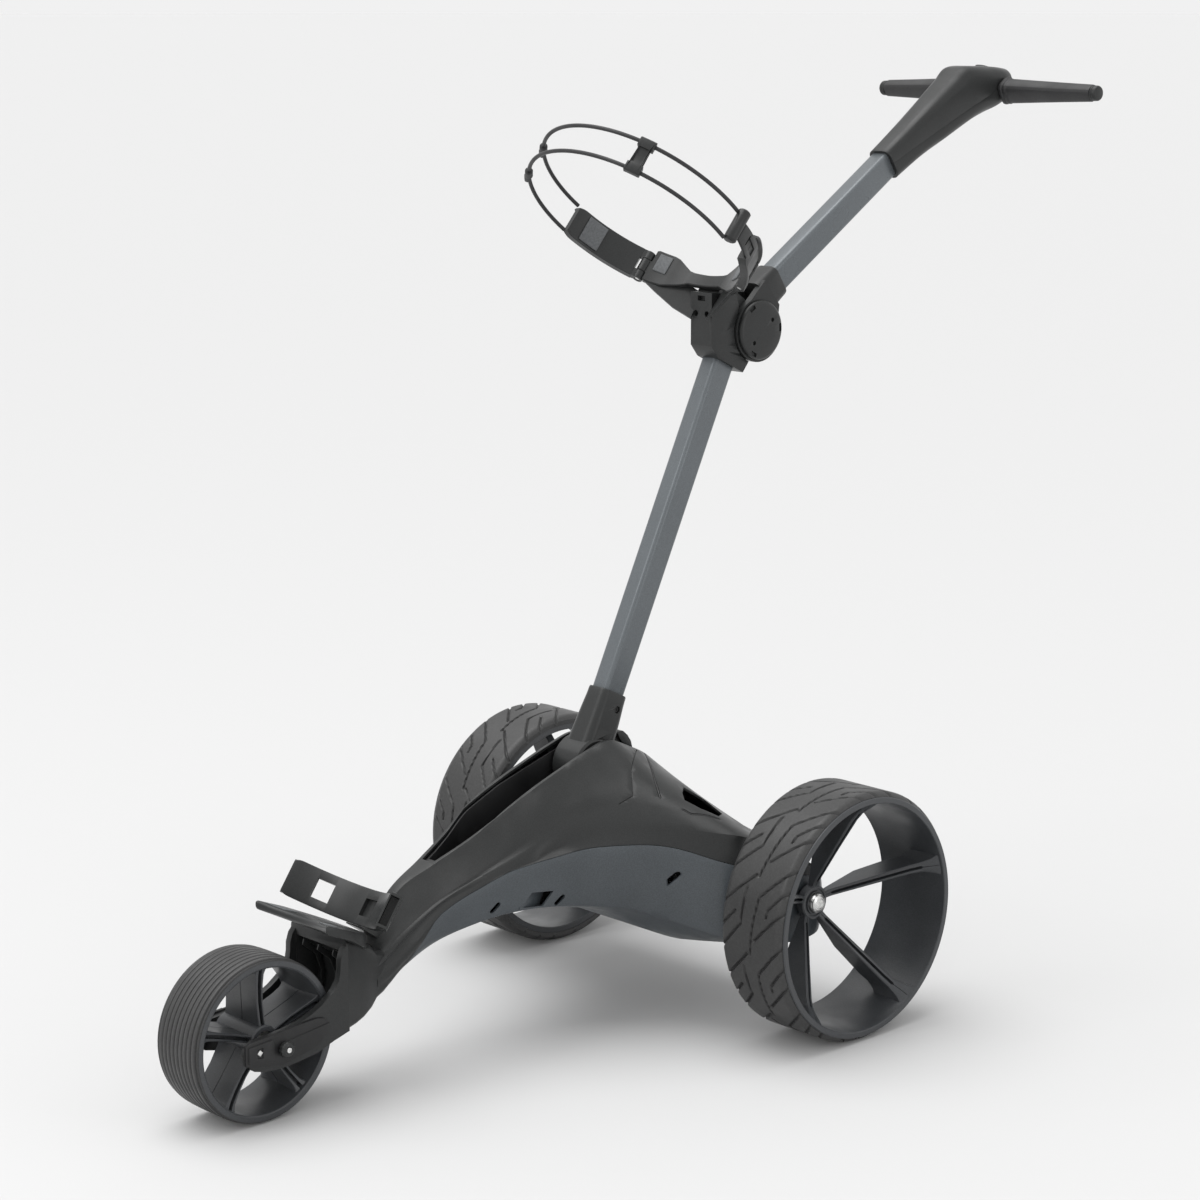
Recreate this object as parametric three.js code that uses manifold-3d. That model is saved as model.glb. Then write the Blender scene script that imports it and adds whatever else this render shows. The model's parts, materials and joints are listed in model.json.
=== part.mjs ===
// Electric golf trolley, unfolded, standing on its three wheels.
// Millimetres, +Z up.  The trolley drives towards -Y; its left side is +X.
// Chassis drawings put y = 0 on the rear axle.  The exported group is moved along Y at the end,
// so that the origin is on the floor under the middle of the whole trolley.

import * as THREE from 'three';
import { mergeVertices } from 'three/addons/utils/BufferGeometryUtils.js';
import Module from 'manifold-3d';

const wasm = await Module();
wasm.setup();

// ---------------------------------------------------------------- driving dimensions

const GAP = 0.3; // clearance between neighbouring pieces
const ORIGIN_SHIFT = 85.285; // rear axle to the middle of the trolley, along Y

const REAR_RADIUS = 144.7;
const REAR_WIDTH = 93.6;
const TRACK_HALF = 300; // middle of the trolley to the outer face of a rear wheel
const REAR_LIP_RADIUS = 138.9;
const TYRE_SEAT = 134; // radius where the rear tyre sits on its rim
const HUB_FACE = 218; // |x| of the recessed hub's outer face
const BUTTON_RADIUS = 11;
const AXLE_TIP = 212; // |x| of the rear axle's ends

const FRONT_Y = -647.5;
const FRONT_RADIUS = 89.6;
const FRONT_WIDTH = 72.6;
const FRONT_LIP_RADIUS = 85.5;

const BAND_Y = -583.9; // centre of the bag rest's curve
const BAND_Z = 261.1;
const BAND_TILT = 35; // bag rest, degrees forward
const BAND_RADIUS = 110;

const ARM_END = 200; // |x| where the chassis shoulders stop, just inside the rear wheels
const WALL = 3; // moulded wall thickness
const BAY_HALF = 27; // half width of the battery bay's slot
const AXLE_RADIUS = 6;

const MOTOR_Y = -52; // motor shaft, ahead of the rear axle
const MOTOR_Z = 141;
const MOTOR_RADIUS = 40;
const MOTOR_START = 34.5; // |x| of the motor's two ends
const MOTOR_END = 134;
const GEAR_TEETH = 32;
const PINION_TEETH = 8;
const GEAR_MODULE = 2 * Math.hypot(MOTOR_Y, MOTOR_Z - REAR_RADIUS) / (GEAR_TEETH + PINION_TEETH);

const FOLD_Y = -160; // lower fold axis
const FOLD_Z = 297;
const LEAN = 25.7; // lower tube, degrees back from upright
const BARREL_RADIUS = 40;

const TUBE_WIDTH = 25;
const TUBE_DEPTH = 33;
const TUBE_WALL = 2;
const SOCKET_TOP = 88; // fold axis to the top of the socket, along the tube
const BRACKET_FOOT = 494; // fold axis to the bottom of the hinge bracket, along the tube
const LOWER_TUBE_TOP = 511;

const HINGE_Y = 104; // upper fold axis
const HINGE_Z = 780;
const CHEEK_RADIUS = 38;
const CHEEK_INNER = 11.4; // |x| of the inner face of a hinge cheek
const CHEEK_OUTER = 19.5;
const DISC_RADIUS = 35;
const RISE = 33.3; // upper tube, degrees above level
const UPPER_OFFSET = -23; // upper tube axis, across from the upper fold axis
const UPPER_TUBE_START = 40;
const UPPER_TUBE_END = 330;

const RING_Y = -70.6; // centre of the bag ring
const RING_Z = 924;
const BAG_TILT = 40; // bag ring, degrees from upright
const RING_RADIUS = 134;
const ARM_THICKNESS = 8;
const STRAP_RADIUS = 2.3;
const STRAP_PITCH = 17.5; // half the distance between the two straps
const ARM_PIN_ANGLE = 37; // round the ring from its rearmost point
const ARM_PIN_RADIUS = 139;

const GRIP_START = 28.5;
const GRIP_END = 166;
const BAR_Z = 510; // handlebar, along the upper tube from its fold axis
const BAR_Y = 12.6; // and across it
const DIAL_Z = 514; // speed dial, along the upper tube
const DIAL_Y = -12;
const DIAL_TILT = 37;
const DIAL_RADIUS = 14;

// ---------------------------------------------------------------- materials

function material(colour, roughness, metalness = 0) {
  return new THREE.MeshStandardMaterial({ color: colour, roughness, metalness });
}

const charcoal = material(0x2b2c2d, 0.55);
const slate = material(0x4c5256, 0.5);
const tubePaint = material(0x5d646a, 0.4, 0.3);
const blackPlastic = material(0x1d1e1f, 0.6);
const rubber = material(0x202122, 0.85);
const padRubber = material(0x5a5c5e, 0.8);
const rimPlastic = material(0x33373a, 0.5);
const steel = material(0xa9acb0, 0.3, 1);
const castAlloy = material(0x8d9194, 0.45, 1);
const brass = material(0xb08d4a, 0.35, 1);
const nylon = material(0xc9c6bc, 0.5);
const boardGreen = material(0x24503a, 0.6);

// ---------------------------------------------------------------- geometry helpers

const radians = THREE.MathUtils.degToRad;

function flipInward(geometry) {
  const place = geometry.attributes.position;
  const index = geometry.index.array;
  const a = new THREE.Vector3();
  const b = new THREE.Vector3();
  const c = new THREE.Vector3();
  let volume = 0;
  for (let i = 0; i < index.length; i += 3) {
    a.fromBufferAttribute(place, index[i]);
    b.fromBufferAttribute(place, index[i + 1]);
    c.fromBufferAttribute(place, index[i + 2]);
    volume += a.dot(b.cross(c));
  }
  if (volume > 0) return;
  for (let i = 0; i < index.length; i += 3) {
    const first = index[i];
    index[i] = index[i + 1];
    index[i + 1] = first;
  }
}

// Triangles that keep three different corners once a geometry's seams are joined.
function wholeTriangles(index) {
  const kept = [];
  for (let i = 0; i < index.length; i += 3) {
    const [a, b, c] = [index[i], index[i + 1], index[i + 2]];
    if (a !== b && b !== c && c !== a) kept.push(a, b, c);
  }
  return kept;
}

function solid(geometry) {
  const plain = geometry.clone();
  plain.deleteAttribute('normal');
  plain.deleteAttribute('uv');
  const merged = mergeVertices(plain, 1e-4);
  merged.setIndex(wholeTriangles(merged.index.array));
  flipInward(merged);
  return new wasm.Manifold(new wasm.Mesh({
    numProp: 3,
    vertProperties: merged.attributes.position.array,
    triVerts: Uint32Array.from(merged.index.array),
  }));
}

function block(width, depth, height, x = 0, y = 0, z = 0) {
  return solid(new THREE.BoxGeometry(width, depth, height).translate(x, y, z));
}

function rodX(radius, from, to, y = 0, z = 0, sides = 14) {
  const geometry = new THREE.CylinderGeometry(radius, radius, to - from, sides);
  return solid(geometry.rotateZ(Math.PI / 2).translate((from + to) / 2, y, z));
}

function rodZ(radius, from, to, x = 0, y = 0, sides = 12) {
  const geometry = new THREE.CylinderGeometry(radius, radius, to - from, sides);
  return solid(geometry.rotateX(Math.PI / 2).translate(x, y, (from + to) / 2));
}

// A closed profile of [x, radius] points turned about the X axis.
function turnedX(profile, sides = 16, y = 0, z = 0) {
  const points = profile.map(([x, radius]) => new THREE.Vector2(radius, x));
  points.push(points[0].clone());
  return solid(new THREE.LatheGeometry(points, sides).rotateZ(-Math.PI / 2).translate(0, y, z));
}

// A side view outline of [y, z] points, extruded across the trolley from one x to another.
function sideView(outline, from, to) {
  const shape = new THREE.Shape(outline.map(([y, z]) => new THREE.Vector2(y, z)));
  const geometry = new THREE.ExtrudeGeometry(shape, { depth: to - from, bevelEnabled: false });
  const axes = new THREE.Matrix4().makeBasis(
    new THREE.Vector3(0, 1, 0), new THREE.Vector3(0, 0, 1), new THREE.Vector3(1, 0, 0));
  return solid(geometry.applyMatrix4(axes).translate(from, 0, 0));
}

// A front view outline of [x, z] points, extruded back from one y to another.
function frontView(outline, from, to) {
  const shape = new THREE.Shape(outline.map(([x, z]) => new THREE.Vector2(x, z)));
  const geometry = new THREE.ExtrudeGeometry(shape, { depth: to - from, bevelEnabled: false });
  return solid(geometry.rotateX(Math.PI / 2).translate(0, to, 0));
}

// A plan view outline of [x, y] points, extruded up from one z to another.
function planView(outline, from, to) {
  const shape = new THREE.Shape(outline.map(([x, y]) => new THREE.Vector2(x, y)));
  const geometry = new THREE.ExtrudeGeometry(shape, { depth: to - from, bevelEnabled: false });
  return solid(geometry.translate(0, 0, from));
}

// Skins a list of rings, each with the same number of points, and closes both ends.
function loft(rings) {
  const sides = rings[0].length;
  const rows = rings.length - 1;
  const geometry = new THREE.CylinderGeometry(1, 1, rows, sides, rows);
  const place = geometry.attributes.position;
  const centres = rings.map((ring) => ring
    .reduce((sum, point) => sum.add(point), new THREE.Vector3())
    .divideScalar(sides));
  const point = new THREE.Vector3();
  for (let i = 0; i < place.count; i += 1) {
    point.fromBufferAttribute(place, i);
    const row = Math.round(rows / 2 - point.y);
    const turn = Math.atan2(point.x, point.z) / (2 * Math.PI);
    const column = (Math.round(turn * sides) + sides) % sides;
    const onRim = Math.hypot(point.x, point.z) > 0.5;
    const target = onRim ? rings[row][column] : centres[row];
    place.setXYZ(i, target.x, target.y, target.z);
  }
  return solid(geometry);
}

// A rounded rectangle in the XY plane at height z, centred on (0, y).
function roundedRing(width, depth, radius, z, y = 0, steps = 3) {
  const ring = [];
  for (let corner = 0; corner < 4; corner += 1) {
    const sx = corner === 0 || corner === 3 ? 1 : -1;
    const sy = corner < 2 ? 1 : -1;
    for (let step = 0; step <= steps; step += 1) {
      const turn = (corner + step / steps) * Math.PI / 2;
      ring.push(new THREE.Vector3(
        sx * (width / 2 - radius) + radius * Math.cos(turn),
        y + sy * (depth / 2 - radius) + radius * Math.sin(turn),
        z));
    }
  }
  return ring;
}

// Part of a ring wall about the Z axis; angles in degrees round from +Y towards +X.
function sector(inner, outer, start, end, from, to, steps = 8) {
  const outline = [];
  for (let i = 0; i <= steps; i += 1) {
    const angle = radians(start + (end - start) * i / steps);
    outline.push([outer * Math.sin(angle), outer * Math.cos(angle)]);
  }
  for (let i = steps; i >= 0; i -= 1) {
    const angle = radians(start + (end - start) * i / steps);
    outline.push([inner * Math.sin(angle), inner * Math.cos(angle)]);
  }
  return planView(outline, from, to);
}

// Smooth curve through a table whose first column rises; gives the other columns at one station.
function guide(table) {
  const places = Float64Array.from(table.map((row) => row[0]));
  const size = table[0].length - 1;
  const values = Float64Array.from(table.flatMap((row) => row.slice(1)));
  const curve = new THREE.CubicInterpolant(places, values, size, new Float64Array(size));
  return (station) => Array.from(curve.evaluate(station));
}

function meshOf(name, look, body) {
  const made = body.getMesh();
  const geometry = new THREE.BufferGeometry();
  geometry.setAttribute('position', new THREE.Float32BufferAttribute(made.vertProperties, 3));
  geometry.setIndex(Array.from(made.triVerts));
  geometry.computeVertexNormals();
  const mesh = new THREE.Mesh(geometry, look);
  mesh.name = name;
  return mesh;
}

function moved(body, x, y, z) {
  return body.translate([x, y, z]);
}

// Where a tilted frame stands, as a matrix.
function placement(y, z, tilt) {
  return new THREE.Matrix4().makeRotationX(radians(tilt)).setPosition(0, y, z);
}

function polar(radius, degrees) {
  const angle = radians(degrees);
  return [radius * Math.sin(angle), radius * Math.cos(angle)];
}

// ---------------------------------------------------------------- chassis shells

// Lines along one side of the chassis, each row [y, |x|, z]; the other side mirrors them.
const rimLine = guide([
  [-492, 13, 143], [-470, 10, 171], [-445, 7, 204], [-400, 13, 226], [-353, 22, 248], [-313, 29, 271],
  [-270, 31, 290], [-235, 31, 301], [-185, 31, 316], [-150, 31, 327], [-120, 31, 317], [-88, 31, 300],
  [-40, 31, 258], [0, 31, 222], [30, 31, 195], [66, 31, 160]]);
const creaseLine = guide([
  [-492, 25, 140], [-470, 22, 152], [-445, 20, 166], [-400, 24, 190], [-353, 29, 208], [-313, 37, 227],
  [-270, 50, 252], [-232, 60, 268], [-197, 74, 274], [-168, 92, 272], [-150, 112, 268], [-134, 130, 263],
  [-110, 152, 256], [-88, 165, 251], [-40, 165, 222], [0, 165, 202], [30, 162, 181], [66, 132, 154]]);
const shoulderLine = guide([
  [-492, 29, 122], [-470, 27, 128], [-445, 26, 141], [-400, 29, 174], [-353, 38, 195], [-313, 50, 210],
  [-268, 69, 221], [-228, 84, 225], [-192, 105, 226.6], [-165, 122, 225.4], [-145, 145, 221.4],
  [-118, 180, 216], [-88, 200, 236], [-40, 200, 205], [0, 200, 188], [30, 198, 168], [66, 162, 148]]);
const hemLine = guide([
  [-492, 26, 98], [-470, 21, 107], [-445, 16, 120], [-400, 17, 139], [-353, 27, 151], [-313, 39, 158],
  [-270, 59, 161], [-225, 73, 155.7], [-192, 92, 150.6], [-165, 109, 143.4], [-145, 136, 134.4],
  [-120, 178, 122.4], [-88, 198, 112], [-40, 198, 100], [0, 198, 96], [30, 196, 101], [66, 160, 116]]);
const keelLine = guide([
  [-492, 10, 96], [-470, 9, 104], [-445, 8, 118], [-400, 8, 136], [-353, 12, 147], [-313, 18, 152],
  [-270, 28, 154], [-235, 40, 150], [-185, 60, 138], [-140, 80, 112], [-88, 90, 90], [-40, 90, 82],
  [0, 90, 82], [30, 90, 88], [66, 90, 108]]);
const SHELL_STATIONS = [
  -492, -470, -445, -400, -353, -313, -270, -235, -207, -185, -165, -145, -120, -88, -40, 0, 30, 66];

function chassisRing(y, inset) {
  const half = [rimLine, creaseLine, shoulderLine, hemLine, keelLine].map((line) => line(y));
  const outline = [...half, ...half.map(([x, z]) => [-x, z]).reverse()];
  const count = outline.length;
  return outline.map(([x, z], i) => {
    const [px, pz] = outline[(i + count - 1) % count];
    const [nx, nz] = outline[(i + 1) % count];
    const before = new THREE.Vector2(z - pz, px - x).normalize();
    const after = new THREE.Vector2(nz - z, x - nx).normalize();
    const inward = before.clone().add(after).normalize();
    const reach = inset / Math.max(0.5, inward.dot(after));
    return new THREE.Vector3(x + inward.x * reach, y, z + inward.y * reach);
  });
}

function chassisForm(inset = 0) {
  return loft(SHELL_STATIONS.map((y) => chassisRing(y, inset)));
}

function chassisHollow() {
  const inner = SHELL_STATIONS.map((y) => Math.min(Math.max(y, -400), 66 - WALL));
  const stations = inner.filter((y, i) => i === 0 || y !== inner[i - 1]);
  return loft(stations.map((y) => chassisRing(y, WALL)));
}

// Side view of everything below the colour seam.
function belowSeam(offset) {
  return sideView([
    [-446, 121 + offset], [-429, 139 + offset], [-409, 167 + offset], [-387, 181 + offset],
    [-353, 195 + offset], [-313, 210 + offset], [-268, 220.5 + offset], [-228, 226 + offset],
    [-192, 227 + offset], [-165, 225.4 + offset], [-145, 221.4 + offset], [-118, 209.5 + offset],
    [-88, 199 + offset], [-40, 184 + offset], [30, 166 + offset], [90, 150 + offset], [90, 60], [-446, 60]], -230, 230);
}

const bayPlan = [
  [-BAY_HALF, -112], [-BAY_HALF, -320], [-19, -350], [-9, -396], [9, -396], [19, -350],
  [BAY_HALF, -320], [BAY_HALF, -112]];

function forkArm(side) {
  const outline = [
    [-550, 178], [-556, 160], [-556, 143], [-566, 129], [-583, 117], [-610, 105], [-632, 101],
    [-676, 98], [-682, 84], [-676, 68], [-640, 61], [-590, 66], [-567, 74], [-548, 80], [-515, 87],
    [-492, 98], [-492, 143], [-520, 160]];
  const inner = side > 0 ? 40 : -48;
  return sideView(outline, inner, inner + 8);
}

// The nose joins the spine to the fork arms and carries the ledge over the front wheel.
function nose() {
  const rings = [
    [-491, 29, 98, 142], [-505, 36, 91, 152], [-520, 42, 86, 161], [-540, 47, 82, 173], [-549, 48, 81, 178],
  ].map(([y, half, low, high]) => [
    new THREE.Vector3(half - 8, y, high), new THREE.Vector3(half, y, high - 12),
    new THREE.Vector3(half, y, low + 4), new THREE.Vector3(half - 6, y, low),
    new THREE.Vector3(6 - half, y, low), new THREE.Vector3(-half, y, low + 4),
    new THREE.Vector3(-half, y, high - 12), new THREE.Vector3(8 - half, y, high)]);
  const wheelRoom = rodX(FRONT_RADIUS + 7, -40, 40, FRONT_Y, FRONT_RADIUS, 36);
  const recess = block(70, 40, 60, 0, -540, 128);
  return loft(rings).subtract(wheelRoom).subtract(recess);
}

// A curved visor with its tips swept forward, above the front wheel.
function ledge() {
  const outline = [];
  const steps = 8;
  for (let i = 0; i <= steps; i += 1) {
    const x = -62 + 124 * i / steps;
    outline.push([x, -572 - 26 * (x / 62) ** 2 * 0.55]);
  }
  outline.push([56, -560], [46, -530], [38, -505], [-38, -505], [-46, -530], [-56, -560]);
  const plate = planView(outline, -4, 4);
  const rise = radians(-34);
  const turned = plate.translate([0, 545, 0]).rotate([THREE.MathUtils.radToDeg(rise), 0, 0]);
  return turned.translate([0, -545, 177]);
}

function frameShell() {
  const slot = planView(bayPlan, 170, 400);
  const pivotLugs = block(2 * 44, 52, 48, 0, FOLD_Y, 284);
  const shell = chassisForm().subtract(chassisHollow()).subtract(belowSeam(GAP / 2));
  const lugs = pivotLugs.intersect(chassisForm());
  const vents = [1, -1].map((side) => planView(
    [[side * 118, -128], [side * 150, -112], [side * 168, -98], [side * 122, -108]], 200, 330));
  let body = shell.add(lugs).subtract(slot).add(nose()).add(forkArm(1)).add(forkArm(-1)).add(ledge());
  body = body.subtract(vents[0]).subtract(vents[1]);
  body = body.subtract(rodX(AXLE_RADIUS + GAP, -60, 60, FOLD_Y, FOLD_Z));
  body = body.subtract(rodX(5 + GAP, -60, 60, FRONT_Y, FRONT_RADIUS));
  body = body.subtract(rodX(13 + GAP, -230, 230, 0, REAR_RADIUS));
  return body;
}

function lowerShell() {
  const shell = chassisForm().subtract(chassisHollow()).intersect(belowSeam(-GAP / 2));
  const front = block(120, 60, 200, 0, -480, 130);
  const axleHoles = rodX(13 + GAP, -230, 230, 0, REAR_RADIUS);
  const window = block(400, 22, 13, 0, -289, 172);
  return shell.subtract(front).subtract(axleHoles).subtract(window);
}

function batteryTray() {
  const outer = planView(bayPlan.map(([x, y]) => [x * (1 - GAP / BAY_HALF), y * 0.999]), 185, 400);
  const inner = planView([
    [-24, -116], [-24, -319], [-16, -350], [-7, -388], [7, -388], [16, -350], [24, -319], [24, -116],
  ], 188, 420);
  const skyline = sideView([
    [-400, 150], [-400, 222], [-353, 244], [-313, 267], [-270, 286], [-235, 297], [-185, 312],
    [-150, 322], [-112, 308], [-100, 308], [-100, 150]], -40, 40);
  const ramp = sideView([
    [-400, 150], [-400, 214], [-372, 214], [-330, 222], [-312, 188], [-312, 150]], -40, 40);
  const floorLine = sideView([
    [-420, 150], [-420, 400], [-90, 400], [-90, 186], [-330, 186], [-400, 196]], -40, 40);
  const pivotHole = rodX(AXLE_RADIUS + GAP, -40, 40, FOLD_Y, FOLD_Z);
  const tub = outer.subtract(inner).add(ramp.intersect(outer));
  return tub.intersect(skyline).intersect(floorLine).subtract(pivotHole);
}

function batteryConnector() {
  const body = block(30, 18, 26, 0, -238, 202);
  const slots = [-8, 0, 8].map((x) => block(2.4, 12, 14, x, -238, 212));
  return slots.reduce((made, slot) => made.subtract(slot), body);
}

// Side view of the gearbox: a round nose about the motor shaft and a round tail about the axle.
function gearboxOutline(inset) {
  const outline = [];
  const lobes = [[MOTOR_Y - 6, MOTOR_Z, 34, 90, 270], [0, REAR_RADIUS, 50, -90, 90]];
  lobes.forEach(([y, z, radius, start, end]) => {
    for (let i = 0; i <= 7; i += 1) {
      const angle = radians(start + (end - start) * i / 7);
      outline.push([y + (radius - inset) * Math.cos(angle), z + (radius - inset) * Math.sin(angle)]);
    }
  });
  return outline;
}

function gearboxHalf(side) {
  const half = 30;
  const outside = sideView(gearboxOutline(0), GAP / 2, half);
  const hollow = sideView(gearboxOutline(WALL), -1, half - WALL);
  const axleHole = rodX(AXLE_RADIUS + GAP, -40, 40, 0, REAR_RADIUS);
  const cup = outside.subtract(hollow).subtract(axleHole);
  const shaftHole = rodX(12, 0, 60, MOTOR_Y, MOTOR_Z);
  return side > 0 ? cup.subtract(shaftHole) : cup.mirror([1, 0, 0]);
}

function spurGear(teeth, from, to, phase, y, z) {
  const pitch = teeth * GEAR_MODULE / 2;
  const outline = [];
  for (let i = 0; i < teeth; i += 1) {
    const places = [[-0.27, -1.1], [-0.11, 0.75], [0.11, 0.75], [0.27, -1.1]];
    places.forEach(([turn, height]) => {
      const angle = (i + phase + turn) * 2 * Math.PI / teeth;
      const radius = pitch + height * GEAR_MODULE;
      outline.push([radius * Math.cos(angle), radius * Math.sin(angle)]);
    });
  }
  return sideView(outline, from, to).translate([0, y, z]);
}

function motorCan() {
  return turnedX([
    [MOTOR_START, 8], [MOTOR_START, MOTOR_RADIUS - 3], [MOTOR_START + 3, MOTOR_RADIUS],
    [MOTOR_END - 6, MOTOR_RADIUS], [MOTOR_END, MOTOR_RADIUS - 6], [MOTOR_END, 8], [MOTOR_END - 4, 8],
    [MOTOR_END - 4, MOTOR_RADIUS - 7], [MOTOR_START + 3, MOTOR_RADIUS - 7], [MOTOR_START + 3, 8],
  ], 24, MOTOR_Y, MOTOR_Z);
}

function motorRotor() {
  const shaft = rodX(4, 2, MOTOR_END + 2, MOTOR_Y, MOTOR_Z, 12);
  const armature = rodX(MOTOR_RADIUS - 12, MOTOR_START + 14, MOTOR_END - 18, MOTOR_Y, MOTOR_Z);
  return shaft.add(armature).add(spurGear(PINION_TEETH, 6, 24, 0.5, MOTOR_Y, MOTOR_Z));
}

function rearAxle() {
  return rodX(AXLE_RADIUS, -AXLE_TIP, AXLE_TIP, 0, REAR_RADIUS);
}

function driveGear() {
  const turn = Math.atan2(MOTOR_Z - REAR_RADIUS, MOTOR_Y) / (2 * Math.PI) * GEAR_TEETH;
  const gear = spurGear(GEAR_TEETH, 8, 22, turn, 0, REAR_RADIUS);
  return gear.subtract(rodX(AXLE_RADIUS + 0.1, 0, 40, 0, REAR_RADIUS));
}

function axleBush(side) {
  const near = side * (ARM_END - 14);
  const far = side * (ARM_END + 1.5);
  const [from, to] = [Math.min(near, far), Math.max(near, far)];
  const sleeve = rodX(13, from, to, 0, REAR_RADIUS);
  return sleeve.subtract(rodX(AXLE_RADIUS + GAP, from - 1, to + 1, 0, REAR_RADIUS));
}

// Drawn about its own +Z, the axis of the band's curve.
function bagRestBand() {
  const outer = BAND_RADIUS + 8;
  const reach = 49.5;
  const windows = [
    sector(BAND_RADIUS - 5, outer + 12, -33, -21, -11, 11, 2),
    sector(BAND_RADIUS - 5, BAND_RADIUS + 5, 4, 16, -10, 10, 2),
    sector(BAND_RADIUS - 5, BAND_RADIUS + 5, 34, 44, -15, 15, 2)];
  const lips = [-1, 1].map((side) => sector(
    BAND_RADIUS, outer + 5, side * (reach - 4), side * reach, -21, 21, 2));
  const band = sector(BAND_RADIUS, outer, -reach, reach, -21, 21, 12).add(lips[0]).add(lips[1]);
  return windows.reduce((made, window) => made.subtract(window), band);
}

// A wedge that saddles the front of the spine; its front face carries the band.
function bagRestBracket() {
  const front = BAND_RADIUS + 8 + GAP;
  const wedge = planView([[-15, front], [15, front], [12, 160], [-12, 160]], -22, 12);
  return wedge.transform(placement(BAND_Y, BAND_Z, -BAND_TILT).elements).subtract(chassisForm(-GAP))
    .intersect(block(60, 80, 90, 0, -490, 190));
}

function padOn(radius, start, end, from, to) {
  return sector(radius, radius + 2.2, start, end, from, to, 3);
}

function axleBracket(side) {
  const plate = sideView([
    [-686, 74], [-686, 100], [-640, 103], [-590, 106], [-576, 98], [-590, 76], [-640, 66]], 48.3, 54);
  return side > 0 ? plate : plate.mirror([1, 0, 0]);
}

function trackingKnob() {
  const profile = [[54.3, 0], [54.3, 9], [59, 9], [61, 7], [61, 0]];
  return turnedX(profile, 20, -636, 84);
}

// ---------------------------------------------------------------- wheels

function rearTyre() {
  const outer = TRACK_HALF - 2.5;
  const inner = TRACK_HALF - REAR_WIDTH;
  return turnedX([
    [inner, TYRE_SEAT], [inner, REAR_RADIUS - 6], [inner + 5, REAR_RADIUS - 1.2],
    [inner + 22, REAR_RADIUS], [outer - 20, REAR_RADIUS], [outer - 4, REAR_RADIUS - 1.2],
    [outer, REAR_RADIUS - 5.6], [outer, TYRE_SEAT]], 32, 0, REAR_RADIUS);
}

function rearRim() {
  const outer = TRACK_HALF;
  const inner = TRACK_HALF - REAR_WIDTH + 1;
  const seat = TYRE_SEAT - GAP;
  let rim = turnedX([
    [inner, seat], [inner, seat - 7], [outer - 60, seat - 4], [outer, seat - 1.6],
    [outer, REAR_LIP_RADIUS], [outer - 2.2, REAR_LIP_RADIUS], [outer - 2.2, seat]], 32);
  const recess = AXLE_TIP + 1;
  rim = rim.add(turnedX([
    [HUB_FACE - 10, AXLE_RADIUS + GAP], [HUB_FACE - 10, 20], [HUB_FACE, 20],
    [HUB_FACE, BUTTON_RADIUS + GAP], [recess, BUTTON_RADIUS + GAP], [recess, AXLE_RADIUS + GAP]]));
  const blade = frontView([
    [HUB_FACE - 9, 17], [HUB_FACE - 1, 17], [HUB_FACE + 31, 70], [outer - 7, seat - 2],
    [outer - 45, seat - 3], [HUB_FACE - 2, 72]], -5, 5);
  for (let i = 0; i < 5; i += 1) {
    rim = rim.add(blade.rotate([72 * i - 2, 0, 0]));
  }
  return moved(rim, 0, 0, REAR_RADIUS);
}

// Pressed towards the axle, it frees the wheel.
function releaseButton() {
  const face = HUB_FACE + 7.7;
  return turnedX([
    [AXLE_TIP + 4, 0], [AXLE_TIP + 4, BUTTON_RADIUS], [HUB_FACE + 5.5, BUTTON_RADIUS],
    [face, BUTTON_RADIUS - 4.5], [face, 0]], 20, 0, REAR_RADIUS);
}

function frontTyre() {
  const half = FRONT_WIDTH / 2;
  return turnedX([
    [-half, FRONT_LIP_RADIUS - 3], [-half, FRONT_RADIUS - 2.6], [-half + 5, FRONT_RADIUS - 0.4],
    [-half + 12, FRONT_RADIUS], [half - 12, FRONT_RADIUS], [half - 5, FRONT_RADIUS - 0.4],
    [half, FRONT_RADIUS - 2.6], [half, FRONT_LIP_RADIUS - 3]], 28, FRONT_Y, FRONT_RADIUS);
}

function frontRim() {
  const half = FRONT_WIDTH / 2;
  const seat = FRONT_LIP_RADIUS - 3 - GAP;
  let rim = turnedX([
    [-half + 0.5, seat], [-half + 0.5, seat - 3], [-8, seat - 5], [8, seat - 5], [half - 0.5, seat - 3],
    [half - 0.5, seat]], 28);
  rim = rim.add(turnedX([[-33, 11 + GAP], [-33, 17], [33, 17], [33, 11 + GAP]]));
  const blade = frontView([
    [-33, 14], [33, 14], [24, 46], [34, seat - 3.5], [-34, seat - 3.5], [-24, 46]], -3.5, 3.5);
  for (let i = 0; i < 5; i += 1) {
    rim = rim.add(blade.rotate([72 * i + 1, 0, 0]));
  }
  rim = rim.subtract(rodX(11 + GAP, -40, 40, 0, 0));
  return moved(rim, 0, FRONT_Y, FRONT_RADIUS);
}

function frontBearing(side) {
  const made = turnedX([[24, 5 + GAP], [24, 11], [32.5, 11], [32.5, 5 + GAP]], 24, FRONT_Y, FRONT_RADIUS);
  return side > 0 ? made : made.mirror([1, 0, 0]);
}

function frontAxle() {
  return rodX(5, -47.5, 47.5, FRONT_Y, FRONT_RADIUS, 20);
}

// ---------------------------------------------------------------- lower tube, along its own +Z

function tubeForm(from, to, extra = 0) {
  const width = TUBE_WIDTH + 2 * extra;
  const depth = TUBE_DEPTH + 2 * extra;
  return loft([roundedRing(width, depth, 7 + extra, from), roundedRing(width, depth, 7 + extra, to)]);
}

function lowerTube() {
  return tubeForm(46, LOWER_TUBE_TOP).subtract(tubeForm(45, LOWER_TUBE_TOP + 1, -TUBE_WALL));
}

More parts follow.
